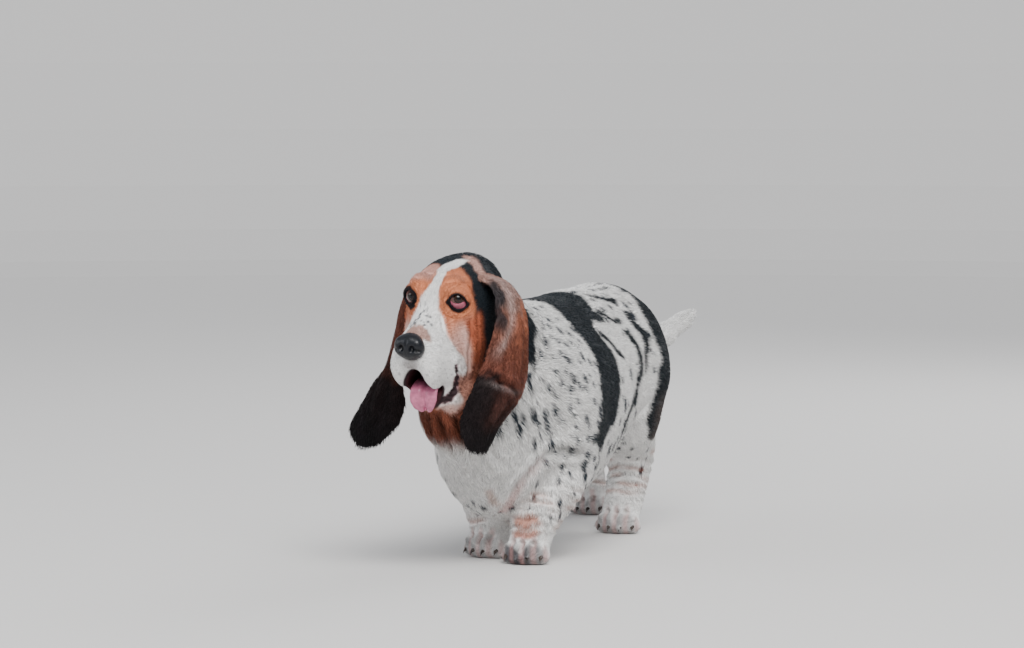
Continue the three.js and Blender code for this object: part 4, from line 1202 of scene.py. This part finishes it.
def ear_colours(name, dog):
    """The ear's colour at each place: rust, paler by its root, black towards the lobe, with painted
    highlights on the left ear's folds.
    """
    down, sideways, _, _ = ear_chart(name, dog)
    stray = down + 0.035 * wander(dog, 14, 21) + 0.025 * wander(dog, 40, 22)
    rows = [row for row, _ in EAR_SHADES[name]]
    tints = np.array([tint for _, tint in EAR_SHADES[name]])
    colours = np.stack([np.interp(stray, rows, tints[:, k]) for k in range(3)], 1)
    colours = colours * (1 + 0.22 * wander(dog * (1, 1, 0.35), 16, 23))[:, None]
    if name == "ear_left":
        front = sideways + 0.16 * wander(dog, 18, 24)
        front_edge = 0.9 * step(-0.45, -0.8, front) * step(0.46, 0.30, down) * step(0.03, 0.10, down)
        colours = blend(colours, BLUE_SHEEN_BLACK, front_edge)
        # A painted highlight along the roll of the front fold.
        front_fold_highlight = np.exp(-(((sideways + 0.52 - 0.1 * np.sin(down * 9)) / 0.15) ** 2)) * step(0.56, 0.40, down)
        colours = blend(colours, FRONT_FOLD_HIGHLIGHT, 0.7 * front_fold_highlight * step(0.02, 0.08, down))
        lower = stray + 0.045 * step(0.2, -0.7, sideways) - 0.10 * step(0.1, 0.9, sideways)
        lobe = step(0.635, 0.70, lower)
        middle = np.exp(-(((sideways - 0.15) / 0.40) ** 2)) * step(0.92, 0.84, down)
        colours = blend(colours, LOBE_BLACK, lobe * (0.95 - 0.75 * middle))
        # A painted highlight: a grey line where the ear's cross fold bends.
        cross_fold_highlight = np.exp(-(((down - 0.645 + 0.02 * sideways) / 0.013) ** 2)) * step(-0.9, -0.3, sideways)
        colours = blend(colours, CROSS_FOLD_HIGHLIGHT, 0.6 * cross_fold_highlight * step(0.7, 0.4, sideways))
        tip = step(0.55, 0.85, sideways) * step(0.50, 0.58, down) * step(0.80, 0.70, down)
        colours = blend(colours, REAR_TIP, 0.8 * tip)
    return np.clip(colours * (1 + 0.10 * wander(dog, 7, 25))[:, None], 0.003, 0.9)


ears = {}
for name in EAR_LINES:
    ear_mesh = smoothed(name, name + "_leather", EAR_CELL, 9, 0.0)
    dog = in_dog(points_of(ear_mesh))
    down, sideways, width, outward = ear_chart(name, dog)
    flat = np.stack([down * EAR_LENGTH, sideways * width / 2, np.zeros(len(dog))], 1)
    lift = 1.4 * wander(dog, 60, 31) * step(0.05, 0.3, down)
    for line, depth, half in EAR_FOLDS[name]:
        middle_width = np.interp([at for at, _ in line], [0, 1], [80, 60]) / 2
        path = [(at * EAR_LENGTH, off * reach, 0) for (at, off), reach in zip(line, middle_width)]
        lift += crease(flat, path, depth, half, 0.6)
    lift -= 3.2 * step(0.55, 1.05, np.abs(sideways)) * step(0.05, 0.2, down)
    root = step(0.22, 0.0, down)
    inward = HEAD_CORE - dog
    inward /= np.linalg.norm(inward, axis=1)[:, None]
    moved = dog + outward * lift[:, None] * (1 - root)[:, None] + inward * (10.5 * root**1.6)[:, None]
    move_points(ear_mesh, (moved + UNDER_WITHERS) / 1000)
    move_points(ear_mesh, relaxed(ear_mesh, np.full(len(ear_mesh.vertices), 2.0), 2))
    paint_points(ear_mesh, "coat_colour", ear_colours(name, in_dog(points_of(ear_mesh))))
    ear_mesh.materials.append(hair_material(name + "_hair", (240, 200, 60), 0.6, 0.45))
    ears[name] = new_piece(name + "_leather", ear_mesh)
    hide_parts(name)

# Claws
# Four thick dark claws on each paw, curved down to the ground, each a horn cone grown out of its toe.

CLAW_LENGTH = 12.5
CLAW_RADIUS = 4.1
CLAW_JOINTS = 6
PIVOT = (0, 0, 0)
claw_horn = wet_material("claw_horn", (0.055, 0.042, 0.036), 0.35, 0.1)
for paw, ((paw_x, paw_y), paw_turn) in PAWS.items():
    horn = bmesh.new()
    for n in TOES:
        start = len(horn.verts)
        ring = bmesh.ops.create_circle(horn, segments=12, radius=CLAW_RADIUS, cap_ends=True)["verts"]
        tipped = Matrix.Rotation(math.radians(72), 3, "X")
        bmesh.ops.rotate(horn, verts=ring, cent=PIVOT, matrix=tipped)
        tip = [face for face in horn.faces if face.verts[0] in ring]
        heading = Vector((0, -1, -0.30)).normalized()
        for part in range(CLAW_JOINTS):
            grown = bmesh.ops.extrude_face_region(horn, geom=tip)
            verts = [item for item in grown["geom"] if isinstance(item, bmesh.types.BMVert)]
            tip = [item for item in grown["geom"] if isinstance(item, bmesh.types.BMFace)]
            bmesh.ops.translate(horn, verts=verts, vec=heading * CLAW_LENGTH / CLAW_JOINTS)
            middle = sum((vert.co for vert in verts), Vector()) / len(verts)
            shrink = 0.92 - 0.09 * part
            at_middle = Matrix.Translation(-middle)
            bmesh.ops.scale(horn, verts=verts, vec=(shrink, shrink, shrink), space=at_middle)
            heading = Matrix.Rotation(math.radians(9), 3, "X") @ heading
        horn.verts.ensure_lookup_table()
        claw = horn.verts[start:]
        splayed = Matrix.Rotation(math.radians(6 * n), 3, "Z")
        bmesh.ops.rotate(horn, verts=claw, cent=PIVOT, matrix=splayed)
        bmesh.ops.translate(horn, verts=claw, vec=(17.2 * n, -33 + 8 * abs(n), 13.5))
    bmesh.ops.recalc_face_normals(horn, faces=horn.faces)
    turned = Matrix.Rotation(math.radians(paw_turn), 3, "Z")
    bmesh.ops.rotate(horn, verts=horn.verts, cent=PIVOT, matrix=turned)
    bmesh.ops.translate(horn, verts=horn.verts, vec=(paw_x, paw_y, 0))
    bmesh.ops.translate(horn, verts=horn.verts, vec=UNDER_WITHERS)
    bmesh.ops.scale(horn, verts=horn.verts, vec=(0.001, 0.001, 0.001))
    for vert in horn.verts:
        vert.co.z = max(vert.co.z, FLOOR_GAP)
    claw_mesh = bpy.data.meshes.new("claws_" + paw)
    horn.to_mesh(claw_mesh)
    horn.free()
    claw_mesh.materials.append(claw_horn)
    new_piece("claws_" + paw, claw_mesh)

# Coat
# Short dense hair in small tapered tufts that overlap and lie back along the body, down the legs and
# ears and away from the nose: longest on neck, chest and tail, smallest on the face and feet.

NOSE_TIP = np.array([0, -124, -24])
# A tuft has three corners at its root, three half way along and one at its tip.
TUFT_MAP = 0.003
TUFT_CORNERS = np.array([(-1, -1), (1, -1), (0, -1), (-1, 0), (1, 0), (0, 0), (0, 1)]) * TUFT_MAP / 2
TUFT_FACES = np.array([
    (0, 3, 4), (0, 4, 1), (1, 4, 5), (1, 5, 2), (2, 5, 3),
    (2, 3, 0), (3, 6, 4), (4, 6, 5), (5, 6, 3), (0, 1, 2),
])
# Painted shade and light on each tuft: darker at its root, lighter along its ridge and towards its tip.
TUFT_LIGHT_AND_SHADE = np.array([0.84, 0.84, 0.90, 0.98, 0.98, 1.03, 1.08])[None, :, None]
TO_TIP = np.array([0, 0, 0, 0.6, 0.6, 0.6, 1])[None, :, None]
LOWEST_HAIR = 0.3
MOST_TUFTS = 19000  # in one piece
EAR_DENSITY = 0.15
coat_draw = np.random.default_rng(7)
tuft_hair = hair_material("tuft_hair", (260, 120, 190), 0.58, 0.15)


def unwrap(piece):
    """Lays the piece's own surface out flat as the map that its tufts are placed on."""
    bpy.context.view_layer.objects.active = piece
    piece.select_set(True)
    piece.data.uv_layers.new(name="OFBake")
    bpy.ops.object.mode_set(mode="EDIT")
    bpy.ops.mesh.select_all(action="SELECT")
    bpy.ops.uv.smart_project(angle_limit=math.radians(66), island_margin=0.002)
    bpy.ops.object.mode_set(mode="OBJECT")
    piece.select_set(False)


def scattered(piece, density):
    """Random places on the piece, so many for each square millimetre, with their normals and map places."""
    mesh = piece.data
    mesh.calc_loop_triangles()
    corners = np.zeros(len(mesh.loop_triangles) * 3, np.int32)
    mesh.loop_triangles.foreach_get("vertices", corners)
    corners = corners.reshape(-1, 3)
    loops = np.zeros(len(mesh.loop_triangles) * 3, np.int32)
    mesh.loop_triangles.foreach_get("loops", loops)
    flat = np.zeros(len(mesh.loops) * 2, np.float32)
    mesh.uv_layers["OFBake"].data.foreach_get("uv", flat)
    laid_out = flat.reshape(-1, 2)[loops].reshape(-1, 3, 2)
    points, normals = points_of(mesh) * 1000, normals_of(mesh)
    a, b, c = (points[corners[:, k]] for k in range(3))
    area = np.linalg.norm(np.cross(b - a, c - a), axis=1) / 2
    wanted = np.cumsum(area * density((a + b + c) / 3 - UNDER_WITHERS))
    places = np.arange(coat_draw.random(), wanted[-1], 1.0)
    chosen = np.searchsorted(wanted, places)
    u, v = coat_draw.random((2, len(chosen)))
    folded = u + v > 1
    u[folded], v[folded] = 1 - u[folded], 1 - v[folded]
    weights = np.stack([1 - u - v, u, v], 1)[:, :, None]
    roots = np.sum(points[corners[chosen]] * weights, 1)
    facing = np.sum(normals[corners[chosen]] * weights, 1)
    facing /= np.linalg.norm(facing, axis=1)[:, None]
    return roots - UNDER_WITHERS, facing, np.sum(laid_out[chosen] * weights, 1)


def laid_flat(lie, facing):
    """The lie of the hair brought down along the surface, at a length of 1."""
    along = lie - np.sum(lie * facing, 1)[:, None] * facing
    return along / np.maximum(np.linalg.norm(along, axis=1), 1e-6)[:, None]


def tuft_piece(name, roots, facing, lie, length, width, lift, curl, laid_out, colours, tips):
    """Joins one tapered tuft at each root into a piece: lying along lie, risen by lift at its middle."""
    along = laid_flat(lie, facing)
    sideways = np.cross(facing, along)
    length, width, lift, curl = (value[:, None] for value in (length, width, lift, curl))
    base = roots - facing * 0.6
    middle = roots + along * length * 0.5 + facing * lift + sideways * curl * length * 0.3
    tip = roots + along * length + facing * lift * 0.95 + sideways * curl * length
    ridge = facing * width * 0.34
    verts = np.stack([
        base + sideways * width / 2, base - sideways * width / 2, base + ridge,
        middle + sideways * width / 2, middle - sideways * width / 2, middle + ridge, tip,
    ], 1)
    verts[:, :, 2] = np.maximum(verts[:, :, 2], LOWEST_HAIR)
    count = len(roots)
    faces = (TUFT_FACES[None] + 7 * np.arange(count)[:, None, None]).reshape(-1)
    mesh = bpy.data.meshes.new(name)
    mesh.vertices.add(count * 7)
    mesh.vertices.foreach_set("co", ((verts + UNDER_WITHERS) / 1000).astype(np.float32).ravel())
    mesh.loops.add(len(faces))
    mesh.loops.foreach_set("vertex_index", faces.astype(np.int32))
    mesh.polygons.add(len(faces) // 3)
    mesh.polygons.foreach_set("loop_start", np.arange(0, len(faces), 3, dtype=np.int32))
    mesh.update(calc_edges=True)
    corners = np.tile(TUFT_FACES.ravel(), count)
    tufts = np.repeat(np.arange(count), TUFT_FACES.size)
    spots = (laid_out[:, None] + TUFT_CORNERS[None])[tufts, corners]
    mesh.uv_layers.new(name="OFBake").data.foreach_set("uv", spots.astype(np.float32).ravel())
    shades = (colours[:, None] * (1 - TO_TIP) + tips[:, None] * TO_TIP) * TUFT_LIGHT_AND_SHADE
    paint_points(mesh, "coat_colour", np.clip(shades, 0, 0.97).reshape(-1, 3))
    mesh.materials.append(tuft_hair)
    new_piece(name, mesh)


def hair_lie(dog):
    """The way that the hair lies at each place on the skin."""
    face = in_head(dog)
    x, y, z = dog.T
    down_leg = step(165, 110, z) * step(30, 60, np.abs(x) + 60 * (z < 60))
    from_nose = face - NOSE_TIP
    from_nose /= np.linalg.norm(from_nose, axis=1)[:, None]
    from_nose[:, 2] -= 0.75 * step(-10, -50, face[:, 2]) * step(-70, -30, face[:, 1])
    lie = np.tile((0.0, 1.0, -0.38), (len(dog), 1))
    for way, amount in (
        (np.array((0, 0.62, -0.8)), step(-170, -280, y)),
        (np.array((0, 0.12, -1.0)), step(-200, -250, y) * step(230, 170, z)),
        (np.array((0, 0.16, -1.0)), down_leg),
        (np.array((0, 0.25, -1.0)), step(200, 260, y) * step(260, 190, z)),
        (np.array((0, -0.75, -0.65)), step(50, 34, z)),
        (np.array((0.05, 0.95, 0.16)), step(300, 325, y) * step(255, 275, z)),
        (from_nose @ HEAD_AXES.T, step(100, 70, face[:, 1]) * step(-150, -128, face[:, 2])),
    ):
        amount = amount[:, None]
        lie = lie * (1 - amount) + way * amount
    sway = np.stack([wander(dog, 42, 51), wander(dog, 42, 52), wander(dog, 42, 53)], 1)
    waves = 0.16 + 0.30 * step(-180, -240, dog[:, 1]) * step(60, 100, face[:, 1])
    return lie + sway * waves[:, None] + coat_draw.normal(0, 0.13, dog.shape)


def near_eyes(dog):
    """1 where a place is close round an eye, 0 away from both."""
    face = in_head(dog)
    return np.maximum(*(step(2.6, 1.5, eye_reach(face, side)[0]) for side in (1, -1)))


def skin_density(dog):
    """Tufts for each square millimetre of skin: dense and fine on head and feet, none in eyes and mouth."""
    face = in_head(dog)
    head = step(100, 80, face[:, 1]) * step(-146, -132, face[:, 2])
    density = 0.115 + 0.15 * head * step(60, 30, face[:, 1]) + 0.09 * step(60, 44, dog[:, 2])
    density *= 1 - 0.35 * step(0.5, 0.9, near_eyes(dog))
    inside = np.linalg.norm((face - MOUTH_MIDDLE) / MOUTH_RADII, axis=1)
    bare = (inside < 1.16) & (face[:, 2] < -60)
    bare |= np.minimum(eye_reach(face, 1)[0], eye_reach(face, -1)[0]) < 1.14
    bare |= np.linalg.norm((face - (0, -106, -27)) / (23, 18, 21), axis=1) < 1
    bare |= dog[:, 2] < 2.2
    return np.where(bare, 0, density)


unwrap(skin)
roots, facing, laid_out = scattered(skin, skin_density)
face = in_head(roots)
head = step(112, 70, face[:, 1]) * step(-160, -128, face[:, 2])
muzzle = step(-30, -60, face[:, 1]) * head
close = near_eyes(roots)
leg = step(170, 90, roots[:, 2]) * (1 - head)
foot = step(62, 40, roots[:, 2])
tail = step(300, 330, roots[:, 1]) * step(255, 275, roots[:, 2])
front = step(-150, -250, roots[:, 1]) * (1 - head)
length = 11.0 + 3.0 * front - 3.5 * leg + 2.5 * tail
length = length * (1 - head) + 6.6 * head
length -= 2.4 * muzzle + 1.6 * close * head
length = length * (1 - foot) + 4.6 * foot
width = 1.2 * (1 - head) + 0.84 * head - 0.12 * muzzle
width = width * (1 - foot) + 0.85 * foot
lift = 0.35 + 0.06 * length + 0.5 * front
lift -= 0.25 * head + 0.2 * foot + 0.15 * leg
vary = coat_draw.uniform(0.75, 1.25, len(roots))
lie = hair_lie(roots)
curl = coat_draw.normal(0, 0.10, len(roots)) + 0.22 * front * wander(roots, 16, 61)
varied = 1 + coat_draw.normal(0, 0.06, (len(roots), 1))
colours = coat_colours(roots) * varied
along = laid_flat(lie, facing)
tips = coat_colours(roots + along * (length * vary * 0.8)[:, None]) * varied
BELTS = [
    ("coat_head", head > 0.5),
    ("coat_feet", foot > 0.5),
    ("coat_legs_front", (leg > 0.5) & (roots[:, 1] < 60)),
    ("coat_legs_hind", leg > 0.5),
    ("coat_tail_and_rump", roots[:, 1] > 210),
    ("coat_neck_and_chest", roots[:, 1] < -190),
    ("coat_shoulders", roots[:, 1] < -50),
    ("coat_ribs", roots[:, 1] < 80),
    ("coat_loins", roots[:, 1] <= 210),
]
left = np.ones(len(roots), bool)
for name, belongs in BELTS:
    here = np.flatnonzero(left & belongs)
    left[here] = False
    across = here[np.argsort(roots[here, 0])]
    parts = math.ceil(len(here) / MOST_TUFTS)
    for part in range(parts):
        take = across[part * len(here) // parts:(part + 1) * len(here) // parts]
        tuft_piece(
            name if parts == 1 else name + "_" + str(part + 1), roots[take], facing[take], lie[take],
            (length * vary)[take], (width * np.sqrt(vary))[take], (lift * vary)[take], curl[take],
            laid_out[take], colours[take], tips[take],
        )

for name, ear in ears.items():
    unwrap(ear)
    roots, facing, laid_out = scattered(ear, lambda dog: np.full(len(dog), EAR_DENSITY))
    down, _, _, outward = ear_chart(name, roots)
    spine = np.array(EAR_LINES[name], float).mean(1)
    rows = np.linspace(0, 1, len(spine))
    run = np.stack([np.interp(down, rows, np.gradient(spine[:, k])) for k in range(3)], 1)
    run /= np.linalg.norm(run, axis=1)[:, None]
    lie = run + coat_draw.normal(0, 0.16, run.shape) + 0.25 * wander(roots, 30, 71)[:, None] * outward
    vary = coat_draw.uniform(0.75, 1.3, len(roots))
    count = len(roots)
    varied = 1 + coat_draw.normal(0, 0.10, (count, 1))
    colours = ear_colours(name, roots) * varied
    tips = ear_colours(name, roots + run * 6) * varied
    tuft_piece(
        "coat_" + name, roots, facing, lie, 7.4 * vary, 0.95 * np.sqrt(vary), 0.9 * vary,
        coat_draw.normal(0, 0.10, count), laid_out, colours, tips,
    )
